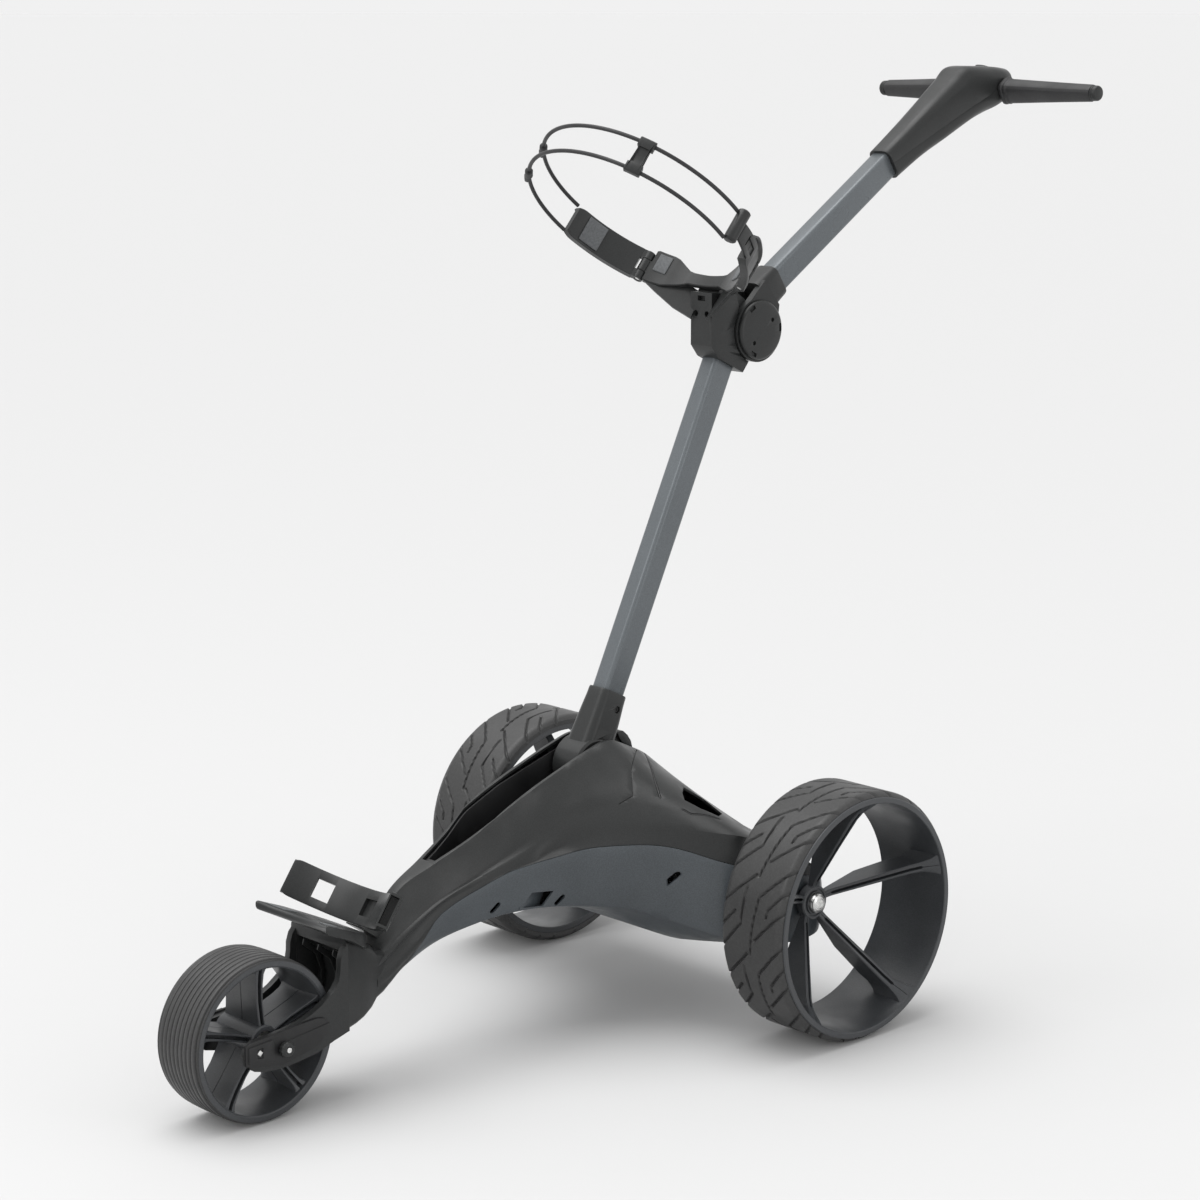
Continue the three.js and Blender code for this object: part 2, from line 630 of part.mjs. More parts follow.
function tubeSocket() {
  const sleeve = loft([
    roundedRing(44, 60, 14, 4), roundedRing(41, 52, 11, 30), roundedRing(36, 44, 10, 62),
    roundedRing(33, 41, 10, SOCKET_TOP)]);
  const barrel = rodX(BARREL_RADIUS, -22.5, 22.5, 0, 0, 24);
  const bore = tubeForm(46 - GAP, SOCKET_TOP + 1, GAP);
  const pinHole = rodX(AXLE_RADIUS + GAP, -40, 40, 0, 0);
  return sleeve.add(barrel).subtract(bore).subtract(pinHole);
}

function foldPin() {
  return rodX(AXLE_RADIUS, -43, 43, FOLD_Y, FOLD_Z);
}

function foldLatch() {
  return sideView([
    [-112, 325], [-106, 328], [-94, 318], [-89, 304], [-99, 308.6], [-107, 316]], -7, 7);
}

// ---------------------------------------------------------------- fold hinge between the two tubes

function hingeBracket() {
  const outline = [
    [27, 828], [27, 766], [38, 752], [80, 731.5], [90, 744], [70, 780], [72, 812], [60, 842], [50, 842],
    [38, 827.5]];
  const link = sideView([[60, 836], [60, 742], [96, 750], [96, 811]], 0.3 - CHEEK_INNER, CHEEK_INNER - 0.3);
  const body = sideView(outline, -17, 17).add(link);
  const swing = rodX(CHEEK_RADIUS + 1, CHEEK_INNER - GAP, 40, HINGE_Y, HINGE_Z, 24);
  const tongue = rodX(31, -(CHEEK_INNER - GAP), CHEEK_INNER - GAP, HINGE_Y, HINGE_Z, 24);
  const pinHole = rodX(AXLE_RADIUS + GAP, -60, 60, HINGE_Y, HINGE_Z);
  return body.subtract(swing).subtract(swing.mirror([1, 0, 0])).add(tongue).subtract(pinHole);
}

function hingePin() {
  return rodX(AXLE_RADIUS, -(CHEEK_OUTER - 1), CHEEK_OUTER - 1, HINGE_Y, HINGE_Z);
}

function hingeCollar() {
  // Drawn along the upper tube's own +Z, from the upper fold axis.
  const cheeks = [1, -1].map((side) => {
    const from = side > 0 ? CHEEK_INNER : -CHEEK_OUTER;
    const round = rodX(CHEEK_RADIUS, from, from + CHEEK_OUTER - CHEEK_INNER, 0, 0, 24);
    const web = sideView([
      [-43, 40], [-36, 0], [0, -20], [36, 0], [4, 37], [-4, 44]], from, from + CHEEK_OUTER - CHEEK_INNER);
    return round.add(web);
  });
  const sleeve = loft([
    roundedRing(38, 44, 10, 30, UPPER_OFFSET), roundedRing(34, 42, 9, 50, UPPER_OFFSET),
    roundedRing(33, 41, 9, 66, UPPER_OFFSET)]);
  const bore = tubeForm(UPPER_TUBE_START - GAP, 100, GAP).translate([0, UPPER_OFFSET, 0]);
  const pinHole = rodX(AXLE_RADIUS + GAP, -60, 60, 0, 0);
  const tongueRoom = rodX(34, -CHEEK_INNER, CHEEK_INNER, 0, 0, 24);
  return cheeks[0].add(cheeks[1]).add(sleeve).subtract(tongueRoom).subtract(bore).subtract(pinHole);
}

function hingeDisc(side) {
  const inner = CHEEK_OUTER + GAP;
  const made = turnedX([
    [inner, 0], [inner, DISC_RADIUS], [inner + 3, DISC_RADIUS], [inner + 5.5, DISC_RADIUS - 3],
    [inner + 6.5, 0]], 24);
  return side > 0 ? made : made.mirror([1, 0, 0]);
}

// ---------------------------------------------------------------- upper tube and handle, along +Z

function upperTube() {
  const hollow = tubeForm(UPPER_TUBE_START - 1, UPPER_TUBE_END + 1, -TUBE_WALL);
  return tubeForm(UPPER_TUBE_START, UPPER_TUBE_END).subtract(hollow).translate([0, UPPER_OFFSET, 0]);
}

// Stations of the handle housing: [z, top, bottom, width].
const HANDLE_STATIONS = [
  [300, -43, -3, 35], [350, -43.5, 0.5, 38], [400, -45, 8, 42], [450, -47, 15, 48], [472, -48, 20, 52],
  [500, -31, 28, 56], [522, -15, 30, 54], [535, -4, 28, 46]];

function handleForm(inset, from = 300, to = 535) {
  const stations = HANDLE_STATIONS.filter(([z]) => z > from && z < to);
  const line = guide(HANDLE_STATIONS);
  const rows = [from, ...stations.map(([z]) => z), to];
  return loft(rows.map((z) => {
    const [top, bottom, width] = line(z);
    const depth = bottom - top - 2 * inset;
    const corner = Math.min(depth, width - 2 * inset) * 0.3;
    return roundedRing(width - 2 * inset, depth, corner, z, (top + bottom) / 2);
  }));
}

function aboveHandleSeam(offset) {
  return sideView([
    [-90, 280], [-28.5 - offset, 280], [1.5 - offset, 486], [9 - offset, 560], [-90, 560]], -60, 60);
}

// A round body on the speed dial's own axis.
function dialForm(radius, from, to) {
  return rodZ(radius, from, to, 0, 0, 20).rotate([DIAL_TILT, 0, 0]).translate([0, DIAL_Y, DIAL_Z]);
}

function handleShell(upper) {
  const bar = rodX(8 + GAP, -80, 80, BAR_Y, BAR_Z);
  const tubeRoom = tubeForm(290, UPPER_TUBE_END + 2, GAP).translate([0, UPPER_OFFSET, 0]);
  const shell = handleForm(0).subtract(handleForm(2.6, UPPER_TUBE_END + 4, 527))
    .subtract(tubeRoom).subtract(bar);
  const part = aboveHandleSeam(upper ? GAP / 2 : -GAP / 2);
  const dialRoom = dialForm(DIAL_RADIUS + 2 * GAP, -7, 14);
  return upper ? shell.intersect(part).subtract(dialRoom) : shell.subtract(part);
}

function speedDial() {
  return dialForm(DIAL_RADIUS, -4, 4.5).add(dialForm(DIAL_RADIUS - 2, 4, 6.5));
}

function handlebar() {
  return rodX(8, -GRIP_END + 2, GRIP_END - 2, BAR_Y, BAR_Z);
}

function grip(side) {
  const ring = (x, high, deep) => roundedRing(high, deep, Math.min(high, deep) * 0.42, x, 0)
    .map((point) => new THREE.Vector3(point.z, point.y + BAR_Y, point.x + BAR_Z));
  const form = loft([
    ring(GRIP_START, 26, 31), ring(GRIP_START + 8, 24, 29), ring(70, 22, 26), ring(120, 20, 22),
    ring(GRIP_END, 18, 19)]);
  const made = form.subtract(rodX(8 + GAP, GRIP_START - 1, GRIP_END - 1.5, BAR_Y, BAR_Z));
  return side > 0 ? made : made.mirror([1, 0, 0]);
}

function gripCap(side) {
  const made = turnedX([
    [GRIP_END + GAP, 0], [GRIP_END + GAP, 9.6], [GRIP_END + 7, 9.4], [GRIP_END + 9, 7],
    [GRIP_END + 9, 0]], 20, BAR_Y, BAR_Z);
  return side > 0 ? made : made.mirror([1, 0, 0]);
}

function controlBoard() {
  return block(34, 1.6, 80, 0, -24, 410);
}

// ---------------------------------------------------------------- bag cradle, ring axis along +Z

// A flat web from the outer end of the yoke down to the side of the hinge bracket.
function yokeGusset(side) {
  const outline = [[0, -16], [0, 6], [30, 2], [66, -6], [68, -38], [50, -34]];
  const web = frontView(outline, -1.5, 1.5).rotate([0, 0, 32]).rotate([0, 180, 0]).translate([77, 112.5, 0]);
  const upright = web.mirror([0, 0, 1]);
  return side > 0 ? upright : upright.mirror([1, 0, 0]);
}

function cradleYoke() {
  const inner = RING_RADIUS;
  const outer = inner + ARM_THICKNESS;
  const arc = sector(inner, outer, -34, 34, -17, 26, 12);
  const above = frontView([[-62, 30], [-28, 13], [28, 13], [62, 30]], 100, 160);
  const below = frontView([[-44, -30], [-30, -3], [30, -3], [44, -30]], 100, 160);
  let body = arc.subtract(above).subtract(below);
  [-1, 1].forEach((side) => {
    const [x, y] = polar(ARM_PIN_RADIUS, side * ARM_PIN_ANGLE);
    const link = sector(inner + 1, outer - 1, side > 0 ? 33 : -36, side > 0 ? 36 : -33, -7, 9, 1);
    body = body.add(link).add(rodZ(6.5, -7, 9, x, y)).add(yokeGusset(side));
  });
  [-1, 1].forEach((side) => {
    const [x, y] = polar(ARM_PIN_RADIUS, side * ARM_PIN_ANGLE);
    body = body.subtract(rodZ(3 + GAP, -30, 30, x, y));
  });
  return body;
}

function armPin(side) {
  const [x, y] = polar(ARM_PIN_RADIUS, side * ARM_PIN_ANGLE);
  return rodZ(3, -17, 19, x, y);
}

function cradleArm(side, reach) {
  const inner = RING_RADIUS;
  const outer = inner + ARM_THICKNESS;
  const start = ARM_PIN_ANGLE + 3.6;
  const made = sector(inner, outer, start, reach, -18, 20, 10);
  const lips = [sector(outer - 1, outer + 3, start + 5, reach - 2, 16, 20, 8),
    sector(outer - 1, outer + 3, start + 5, reach - 2, -18, -14, 8)];
  const [x, y] = polar(ARM_PIN_RADIUS, ARM_PIN_ANGLE);
  const [linkX, linkY] = polar(ARM_PIN_RADIUS, start + 1);
  const ears = [[9 + GAP, 20], [-18, -7 - GAP]].map(([from, to]) => rodZ(6.5, from, to, x, y)
    .add(planView([
      [x - 3, y + 5], [x - 3, y - 4], [linkX, linkY - 5], [linkX + 4, linkY + 3]].reverse(), from, to)));
  let body = made.add(lips[0]).add(lips[1]).add(ears[0]).add(ears[1]);
  const earRoom = rodZ(7.2, -7 - GAP, 9 + GAP, x, y);
  body = body.subtract(rodZ(3 + GAP, -30, 30, x, y)).subtract(earRoom);
  return side > 0 ? body : body.mirror([1, 0, 0]);
}

function strapLatch() {
  const [x, y] = polar(RING_RADIUS + 4, 83);
  const post = rodZ(8, -17, 24, x, y);
  const tail = sector(RING_RADIUS + 3, RING_RADIUS + 7, 66, 83, -10, 12, 4);
  return post.add(tail);
}

class RingArc extends THREE.Curve {
  constructor(radius, start, end) {
    super();
    Object.assign(this, { radius, start, end });
  }

  getPoint(t, target = new THREE.Vector3()) {
    const angle = radians(this.start + (this.end - this.start) * t);
    return target.set(this.radius * Math.sin(angle), this.radius * Math.cos(angle), 0);
  }
}

function strapForm(radius, start = 91, end = 278.5, steps = 20) {
  const shape = new THREE.Shape();
  for (let i = 0; i < 8; i += 1) {
    const angle = i * Math.PI / 4;
    const point = [radius * Math.cos(angle), radius * Math.sin(angle)];
    if (i === 0) shape.moveTo(...point);
    else shape.lineTo(...point);
  }
  const extrudePath = new RingArc(RING_RADIUS + 1, start, end);
  return solid(new THREE.ExtrudeGeometry(shape, { steps, extrudePath, bevelEnabled: false }));
}

// A moulded rubber strap with its length adjuster, a collar, on the far side of the ring.
function strap(height) {
  const collar = strapForm(5.2, 226.5, 231.5, 2);
  return strapForm(STRAP_RADIUS).add(collar).translate([0, 0, height]);
}

function bridgeClip() {
  const half = STRAP_PITCH + 5;
  const plate = sector(RING_RADIUS - 3.5, RING_RADIUS + 5.5, 138, 146, -half, half, 3);
  const rooms = [-1, 1].map((side) => strapForm(STRAP_RADIUS + GAP)
    .translate([0, 0, side * STRAP_PITCH]));
  return plate.subtract(rooms[0]).subtract(rooms[1]);
}

// ---------------------------------------------------------------- the assembly

const trolley = new THREE.Group();
trolley.position.y = ORIGIN_SHIFT;

const chassis = new THREE.Group();
const wheels = new THREE.Group();
trolley.add(chassis, wheels);

function framed(y, z, tilt) {
  const group = new THREE.Group();
  group.position.set(0, y, z);
  group.rotation.x = radians(tilt);
  trolley.add(group);
  return group;
}

const bagRest = framed(BAND_Y, BAND_Z, -BAND_TILT);
const lower = framed(FOLD_Y, FOLD_Z, -LEAN);
const upper = framed(HINGE_Y, HINGE_Z, RISE - 90);
const cradle = framed(RING_Y, RING_Z, -BAG_TILT);

chassis.add(meshOf('frame_shell', charcoal, frameShell()));
chassis.add(meshOf('lower_shell', slate, lowerShell()));
chassis.add(meshOf('battery_tray', blackPlastic, batteryTray()));
chassis.add(meshOf('battery_connector', blackPlastic, batteryConnector()));
chassis.add(meshOf('left_gearbox_half', castAlloy, gearboxHalf(1)));
chassis.add(meshOf('right_gearbox_half', castAlloy, gearboxHalf(-1)));
chassis.add(meshOf('motor_can', steel, motorCan()));
chassis.add(meshOf('left_axle_bush', brass, axleBush(1)));
chassis.add(meshOf('right_axle_bush', brass, axleBush(-1)));
chassis.add(meshOf('fold_pin', steel, foldPin()));
chassis.add(meshOf('left_axle_bracket', blackPlastic, axleBracket(1)));
chassis.add(meshOf('right_axle_bracket', blackPlastic, axleBracket(-1)));
chassis.add(meshOf('front_axle', steel, frontAxle()));
chassis.add(meshOf('tracking_knob', charcoal, trackingKnob()));
chassis.add(meshOf('fold_latch', charcoal, foldLatch()));
chassis.add(meshOf('bag_rest_bracket', charcoal, bagRestBracket()));

wheels.add(meshOf('motor_rotor', steel, motorRotor()));
wheels.add(meshOf('rear_axle', steel, rearAxle()));
wheels.add(meshOf('drive_gear', nylon, driveGear()));
const [tyre, rim, button] = [rearTyre(), rearRim(), releaseButton()];
['left', 'right'].forEach((hand) => {
  const place = (body) => (hand === 'left' ? body : body.mirror([1, 0, 0]));
  wheels.add(meshOf(`${hand}_tyre`, rubber, place(tyre)));
  wheels.add(meshOf(`${hand}_rim`, rimPlastic, place(rim)));
  wheels.add(meshOf(`${hand}_release_button`, steel, place(button)));
});
wheels.add(meshOf('front_tyre', rubber, frontTyre()));
wheels.add(meshOf('front_rim', rimPlastic, frontRim()));
wheels.add(meshOf('left_front_bearing', steel, frontBearing(1)));
wheels.add(meshOf('right_front_bearing', steel, frontBearing(-1)));

bagRest.add(meshOf('bag_rest_band', charcoal, bagRestBand()));

lower.add(meshOf('lower_tube', tubePaint, lowerTube()));
lower.add(meshOf('tube_socket', charcoal, tubeSocket()));

const tubeInBracket = tubeForm(BRACKET_FOOT - 20, LOWER_TUBE_TOP + GAP, GAP)
  .transform(placement(FOLD_Y, FOLD_Z, -LEAN).elements);
trolley.add(meshOf('hinge_bracket', charcoal, hingeBracket().subtract(tubeInBracket)));
trolley.add(meshOf('hinge_pin', steel, hingePin()));

upper.add(meshOf('hinge_collar', charcoal, hingeCollar()));
upper.add(meshOf('left_hinge_disc', charcoal, hingeDisc(1)));
upper.add(meshOf('right_hinge_disc', charcoal, hingeDisc(-1)));
upper.add(meshOf('upper_tube', tubePaint, upperTube()));
upper.add(meshOf('handle_top_shell', charcoal, handleShell(true)));
upper.add(meshOf('handle_bottom_shell', charcoal, handleShell(false)));
upper.add(meshOf('speed_dial', charcoal, speedDial()));
upper.add(meshOf('handlebar', steel, handlebar()));
upper.add(meshOf('left_grip', rubber, grip(1)));
upper.add(meshOf('right_grip', rubber, grip(-1)));
upper.add(meshOf('left_grip_cap', charcoal, gripCap(1)));
upper.add(meshOf('right_grip_cap', charcoal, gripCap(-1)));
upper.add(meshOf('control_board', boardGreen, controlBoard()));

cradle.add(meshOf('cradle_yoke', charcoal, cradleYoke()));
cradle.add(meshOf('left_arm_pin', steel, armPin(1)));
cradle.add(meshOf('right_arm_pin', steel, armPin(-1)));
cradle.add(meshOf('left_cradle_arm', charcoal, cradleArm(1, 68).add(strapLatch())));
cradle.add(meshOf('right_cradle_arm', charcoal, cradleArm(-1, 80)));
cradle.add(meshOf('upper_strap', rubber, strap(STRAP_PITCH)));
cradle.add(meshOf('lower_strap', rubber, strap(-STRAP_PITCH)));
cradle.add(meshOf('strap_bridge_clip', charcoal, bridgeClip()));
['left', 'right'].forEach((hand) => {
  const side = hand === 'left' ? 1 : -1;
  const inner = RING_RADIUS - 2.2 - GAP;
  const yokePad = padOn(inner, side > 0 ? 24 : -32, side > 0 ? 32 : -24, -2, 22);
  const armPad = padOn(inner, side > 0 ? 57 : -73, side > 0 ? 66 : -61, -15, 17);
  cradle.add(meshOf(`${hand}_yoke_pad`, padRubber, yokePad));
  cradle.add(meshOf(`${hand}_arm_pad`, padRubber, armPad));
});

export default trolley;
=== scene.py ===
# Electric golf trolley: the visible surfaces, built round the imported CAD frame.
# Blender works in metres.  Each piece is drawn in millimetres in a frame of its own and placed by a matrix.

import json
import math

import bmesh
import bpy
import numpy as np
from mathutils import Matrix, Vector


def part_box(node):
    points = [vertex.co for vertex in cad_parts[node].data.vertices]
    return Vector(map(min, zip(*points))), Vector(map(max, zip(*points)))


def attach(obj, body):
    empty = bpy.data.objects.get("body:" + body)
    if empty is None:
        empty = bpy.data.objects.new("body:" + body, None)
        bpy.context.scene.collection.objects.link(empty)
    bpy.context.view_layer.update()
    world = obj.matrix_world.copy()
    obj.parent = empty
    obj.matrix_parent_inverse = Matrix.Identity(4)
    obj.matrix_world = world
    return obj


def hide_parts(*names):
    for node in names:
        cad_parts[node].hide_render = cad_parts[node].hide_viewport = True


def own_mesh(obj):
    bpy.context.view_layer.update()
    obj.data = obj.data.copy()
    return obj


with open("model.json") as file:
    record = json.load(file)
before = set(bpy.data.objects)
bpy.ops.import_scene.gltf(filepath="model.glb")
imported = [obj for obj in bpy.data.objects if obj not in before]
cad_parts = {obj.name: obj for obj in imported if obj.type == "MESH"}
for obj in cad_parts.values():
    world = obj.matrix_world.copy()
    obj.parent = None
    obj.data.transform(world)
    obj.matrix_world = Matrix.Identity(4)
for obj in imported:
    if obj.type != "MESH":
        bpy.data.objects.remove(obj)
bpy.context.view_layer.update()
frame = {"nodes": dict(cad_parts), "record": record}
joints = {joint["name"]: joint for joint in frame["record"]["behaviour"]["joints"]}

# ---------------------------------------------------------------- places, from the frame

MM = Matrix.Scale(0.001, 4)


def middle(node):
    low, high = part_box(node)
    return (Vector(low) + Vector(high)) / 2


def tilted(place, degrees):
    return Matrix.Translation(place) @ Matrix.Rotation(math.radians(degrees), 4, "X") @ MM


AXLE = middle("rear_axle")
FRONT = middle("front_axle")
FOLD = middle("fold_pin")
HINGE = middle("hinge_pin")
LEAN = 25.7  # lower tube, degrees back from upright
RISE = 33.3  # upper tube, degrees above level
BAND_TILT = 35  # bag rest, degrees forward
PIN_ANGLE = math.radians(37)  # arm pins, round the bag ring
PIN_RADIUS = 139

arm_pin = joints["left_arm_swing"]
RING_TILT = math.degrees(math.atan2(arm_pin["axis"][1], arm_pin["axis"][2]))
ring_across = Vector((0, arm_pin["axis"][2], -arm_pin["axis"][1]))
RING = Vector(arm_pin["pos_m"]) - PIN_RADIUS / 1000 * (
    Vector((math.sin(PIN_ANGLE), 0, 0)) + math.cos(PIN_ANGLE) * ring_across)

CHASSIS = Matrix.Translation((0, AXLE.y, 0)) @ MM
WHEELS = Matrix.Translation(AXLE) @ MM
FRONT_WHEEL = Matrix.Translation(FRONT) @ MM
LOWER = tilted(FOLD, -LEAN)
UPPER = tilted(HINGE, RISE - 90)
CRADLE = tilted(RING, -RING_TILT)
BAND = tilted(AXLE + Vector((0, -0.5839, 0.1164)), -BAND_TILT)
MIRROR = Matrix.Scale(-1, 4, (1, 0, 0))

REAR_RADIUS = 144.7
TRACK_HALF = 300
REAR_WIDTH = 93.6
HUB_FACE = 218
FRONT_RADIUS = 89.6
FRONT_WIDTH = 72.6

# ---------------------------------------------------------------- materials


def look(name, colour, roughness, grain=900.0, bump=0.08, metal=0.0, variation=0.12, specular=0.5, scuff=0.08):
    """A moulded, painted or drawn surface: fine grain, slow colour drift and worn patches."""
    made = bpy.data.materials.new(name)
    made.use_nodes = True
    nodes, links = made.node_tree.nodes, made.node_tree.links
    shader = nodes["Principled BSDF"]
    shader.inputs["Metallic"].default_value = metal
    shader.inputs["Specular IOR Level"].default_value = specular
    where = nodes.new("ShaderNodeTexCoord")

    def noise(scale, detail):
        node = nodes.new("ShaderNodeTexNoise")
        node.inputs["Scale"].default_value = scale
        node.inputs["Detail"].default_value = detail
        links.new(where.outputs["Object"], node.inputs["Vector"])
        return node.outputs["Fac"]

    def ramp(source, low, high, start, end):
        node = nodes.new("ShaderNodeValToRGB")
        node.color_ramp.elements[0].position = start
        node.color_ramp.elements[1].position = end
        node.color_ramp.elements[0].color = (*low, 1)
        node.color_ramp.elements[1].color = (*high, 1)
        links.new(source, node.inputs["Fac"])
        return node.outputs["Color"]

    drift = noise(9.0, 4.0)
    dark = [c * (1 - variation) for c in colour]
    light = [c * (1 + variation) for c in colour]
    base = ramp(drift, dark, light, 0.3, 0.7)
    speck = ramp(noise(grain * 0.6, 2.0), [0.82] * 3, [1.12] * 3, 0.35, 0.65)
    mix = nodes.new("ShaderNodeMix")
    mix.data_type = "RGBA"
    mix.blend_type = "MULTIPLY"
    mix.inputs["Factor"].default_value = 1.0
    links.new(base, mix.inputs["A"])
    links.new(speck, mix.inputs["B"])
    links.new(mix.outputs["Result"], shader.inputs["Base Color"])
    worn = ramp(noise(26.0, 6.0), [roughness - scuff] * 3, [roughness + scuff] * 3, 0.35, 0.65)
    links.new(worn, shader.inputs["Roughness"])
    relief = nodes.new("ShaderNodeBump")
    relief.inputs["Strength"].default_value = bump
    relief.inputs["Distance"].default_value = 0.0004
    links.new(noise(grain, 3.0), relief.inputs["Height"])
    links.new(relief.outputs["Normal"], shader.inputs["Normal"])
    return made


LOOKS = {
    "charcoal": look("charcoal_plastic", (0.021, 0.022, 0.022), 0.37, 1300, 0.08, specular=0.36),
    "slate": look("slate_plastic", (0.058, 0.067, 0.075), 0.36, 1300, 0.05),
    "black": look("black_plastic", (0.006, 0.006, 0.0065), 0.5, 1100, 0.08),
    "paint": look("tube_paint", (0.125, 0.138, 0.148), 0.3, 2200, 0.02, metal=0.3, variation=0.03, scuff=0.03),
    "tyre": look("tyre_rubber", (0.032, 0.032, 0.032), 0.48, 700, 0.15, specular=0.5),
    "rim": look("rim_plastic", (0.045, 0.048, 0.052), 0.36, 1300, 0.05),
    "rubber": look("soft_rubber", (0.018, 0.018, 0.019), 0.5, 900, 0.12),
    "pad": look("pad_rubber", (0.1, 0.105, 0.11), 0.6, 700, 0.15),
    "steel": look("bright_steel", (0.7, 0.7, 0.69), 0.28, 500, 0.03, metal=1.0, variation=0.05),
    "cast": look("cast_alloy", (0.42, 0.43, 0.44), 0.5, 400, 0.3, metal=1.0),
    "brass": look("bush_brass", (0.58, 0.42, 0.18), 0.35, 500, 0.05, metal=1.0),
    "nylon": look("gear_nylon", (0.55, 0.53, 0.48), 0.5, 600, 0.05),
    "board": look("board_green", (0.02, 0.1, 0.05), 0.3, 300, 0.1),
}
LOOK_OF_SLOT = {
    "charcoal_plastic": "charcoal", "slate_plastic": "slate", "black_plastic": "black", "tube_paint": "paint",
    "tyre_rubber": "tyre", "rim_plastic": "rim", "grip_rubber": "rubber", "pad_rubber": "pad",
    "bright_steel": "steel", "bar_alloy": "steel", "cast_alloy": "cast", "bush_brass": "brass",
    "gear_nylon": "nylon", "board_green": "board"}

for subpart in frame["record"]["subparts"]:
    carried = frame["nodes"][subpart["node"]]
    carried.data.materials.clear()
    carried.data.materials.append(LOOKS[LOOK_OF_SLOT[subpart["material_slot"]]])

# ---------------------------------------------------------------- shapes: each gives (points, faces)


def joined(*lumps):
    points, faces = [], []
    for some, more in lumps:
        faces += [tuple(i + len(points) for i in face) for face in more]
        points += [Vector(p) for p in some]
    return points, faces


def moved(lump, matrix):
    points, faces = lump
    flipped = matrix.to_3x3().determinant() < 0
    return [matrix @ Vector(p) for p in points], [tuple(reversed(f)) if flipped else f for f in faces]


def shifted(lump, x=0, y=0, z=0):
    return moved(lump, Matrix.Translation((x, y, z)))


def turned(lump, degrees, axis="X"):
    return moved(lump, Matrix.Rotation(math.radians(degrees), 4, axis))


def mirrored(lump):
    return moved(lump, MIRROR)


def skin(rings, close=False, caps=True):
    """Joins rings of equal length in order; close joins the last ring to the first."""
    count = len(rings[0])
    points = [Vector(p) for ring in rings for p in ring]
    faces = []
    rows = len(rings) if close else len(rings) - 1
    for i in range(rows):
        a, b = i * count, (i + 1) % len(rings) * count
        for j in range(count):
            k = (j + 1) % count
            faces.append((a + j, a + k, b + k, b + j))
    if caps and not close:
        faces.append(tuple(reversed(range(count))))
        faces.append(tuple(range((len(rings) - 1) * count, len(rings) * count)))
    return points, faces


def lathe(profile, sides=96):
    """[x, radius] points turned about the X axis; a profile that starts on the axis ends on it too."""
    rings = []
    for i in range(sides):
        angle = 2 * math.pi * i / sides
        rings.append([(x, r * math.sin(angle), r * math.cos(angle)) for x, r in profile])
    points, faces = skin(rings, close=True, caps=False)
    if profile[0][1] > 0:
        return points, faces
    count = len(profile)
    return points, [f for n, f in enumerate(faces) if n % count != count - 1]


def along(outline, start, end, axis="X"):
    """A flat outline pushed along an axis: [y, z] along X, [x, z] along Y or [x, y] along Z."""
    order = {"X": lambda u, v, w: (w, u, v), "Y": lambda u, v, w: (u, w, v), "Z": lambda u, v, w: (u, v, w)}[axis]
    return skin([[order(u, v, w) for u, v in outline] for w in (start, end)])


def rounded(width, depth, radius, z, y=0.0, x=0.0, steps=6):
    ring = []
    for corner in range(4):
        sx = 1 if corner in (0, 3) else -1
        sy = 1 if corner < 2 else -1
        for step in range(steps + 1):
            turn = (corner + step / steps) * math.pi / 2
            ring.append((x + sx * (width / 2 - radius) + radius * math.cos(turn),
                         y + sy * (depth / 2 - radius) + radius * math.sin(turn), z))
    return ring


def arc(radius, start, end, steps, cx=0.0, cy=0.0):
    """Points round a centre, from the second axis towards the first, in degrees."""
    turns = [math.radians(start + (end - start) * i / steps) for i in range(steps + 1)]
    return [(cx + radius * math.sin(t), cy + radius * math.cos(t)) for t in turns]


def sector(inner, outer, start, end, low, high, steps=24):
    return along(arc(outer, start, end, steps) + arc(inner, end, start, steps), low, high, "Z")


def swept(path, radius, sides=12, closed=False):
    """A round bar along a list of points."""
    path = [Vector(p) for p in path]
    rings = []
    normal = None
    for i, point in enumerate(path):
        ahead = path[min(i + 1, len(path) - 1)] - path[max(i - 1, 0)]
        ahead.normalize()
        if normal is None:
            normal = ahead.orthogonal().normalized()
        normal = (normal - ahead * normal.dot(ahead)).normalized()
        other = ahead.cross(normal)
        rings.append([point + radius * (math.cos(t) * normal + math.sin(t) * other)
                      for t in (2 * math.pi * k / sides for k in range(sides))])
    return skin(rings, close=closed)


def curve_through(table, station):
    """Smooth interpolation of a table's columns at one value of its first column."""
    for i in range(len(table) - 1):
        if station <= table[i + 1][0] or i == len(table) - 2:
            break
    a, b = table[i], table[i + 1]
    before = table[i - 1] if i else a
    after = table[i + 2] if i + 2 < len(table) else b
    t = (station - a[0]) / (b[0] - a[0])
    values = []
    for k in range(1, len(a)):
        slope_a = (b[k] - before[k]) / (b[0] - before[0]) * (b[0] - a[0])
        slope_b = (after[k] - a[k]) / (after[0] - a[0]) * (b[0] - a[0])
        values.append((2 * t**3 - 3 * t**2 + 1) * a[k] + (t**3 - 2 * t**2 + t) * slope_a
                      + (3 * t**2 - 2 * t**3) * b[k] + (t**3 - t**2) * slope_b)
    return values


# ---------------------------------------------------------------- pieces


def solid_object(name, lump):
    points, faces = lump
    mesh = bpy.data.meshes.new(name)
    work = bmesh.new()
    corners = [work.verts.new(p) for p in points]
    for face in faces:
        try:
            work.faces.new([corners[i] for i in face])
        except ValueError:
            continue
    bmesh.ops.remove_doubles(work, verts=work.verts, dist=1e-3)
    bmesh.ops.delete(work, geom=[edge for edge in work.edges if not edge.link_faces], context="EDGES")
    bmesh.ops.recalc_face_normals(work, faces=work.faces)
    work.to_mesh(mesh)
    work.free()
    made = bpy.data.objects.new(name, mesh)
    bpy.context.scene.collection.objects.link(made)
    return made


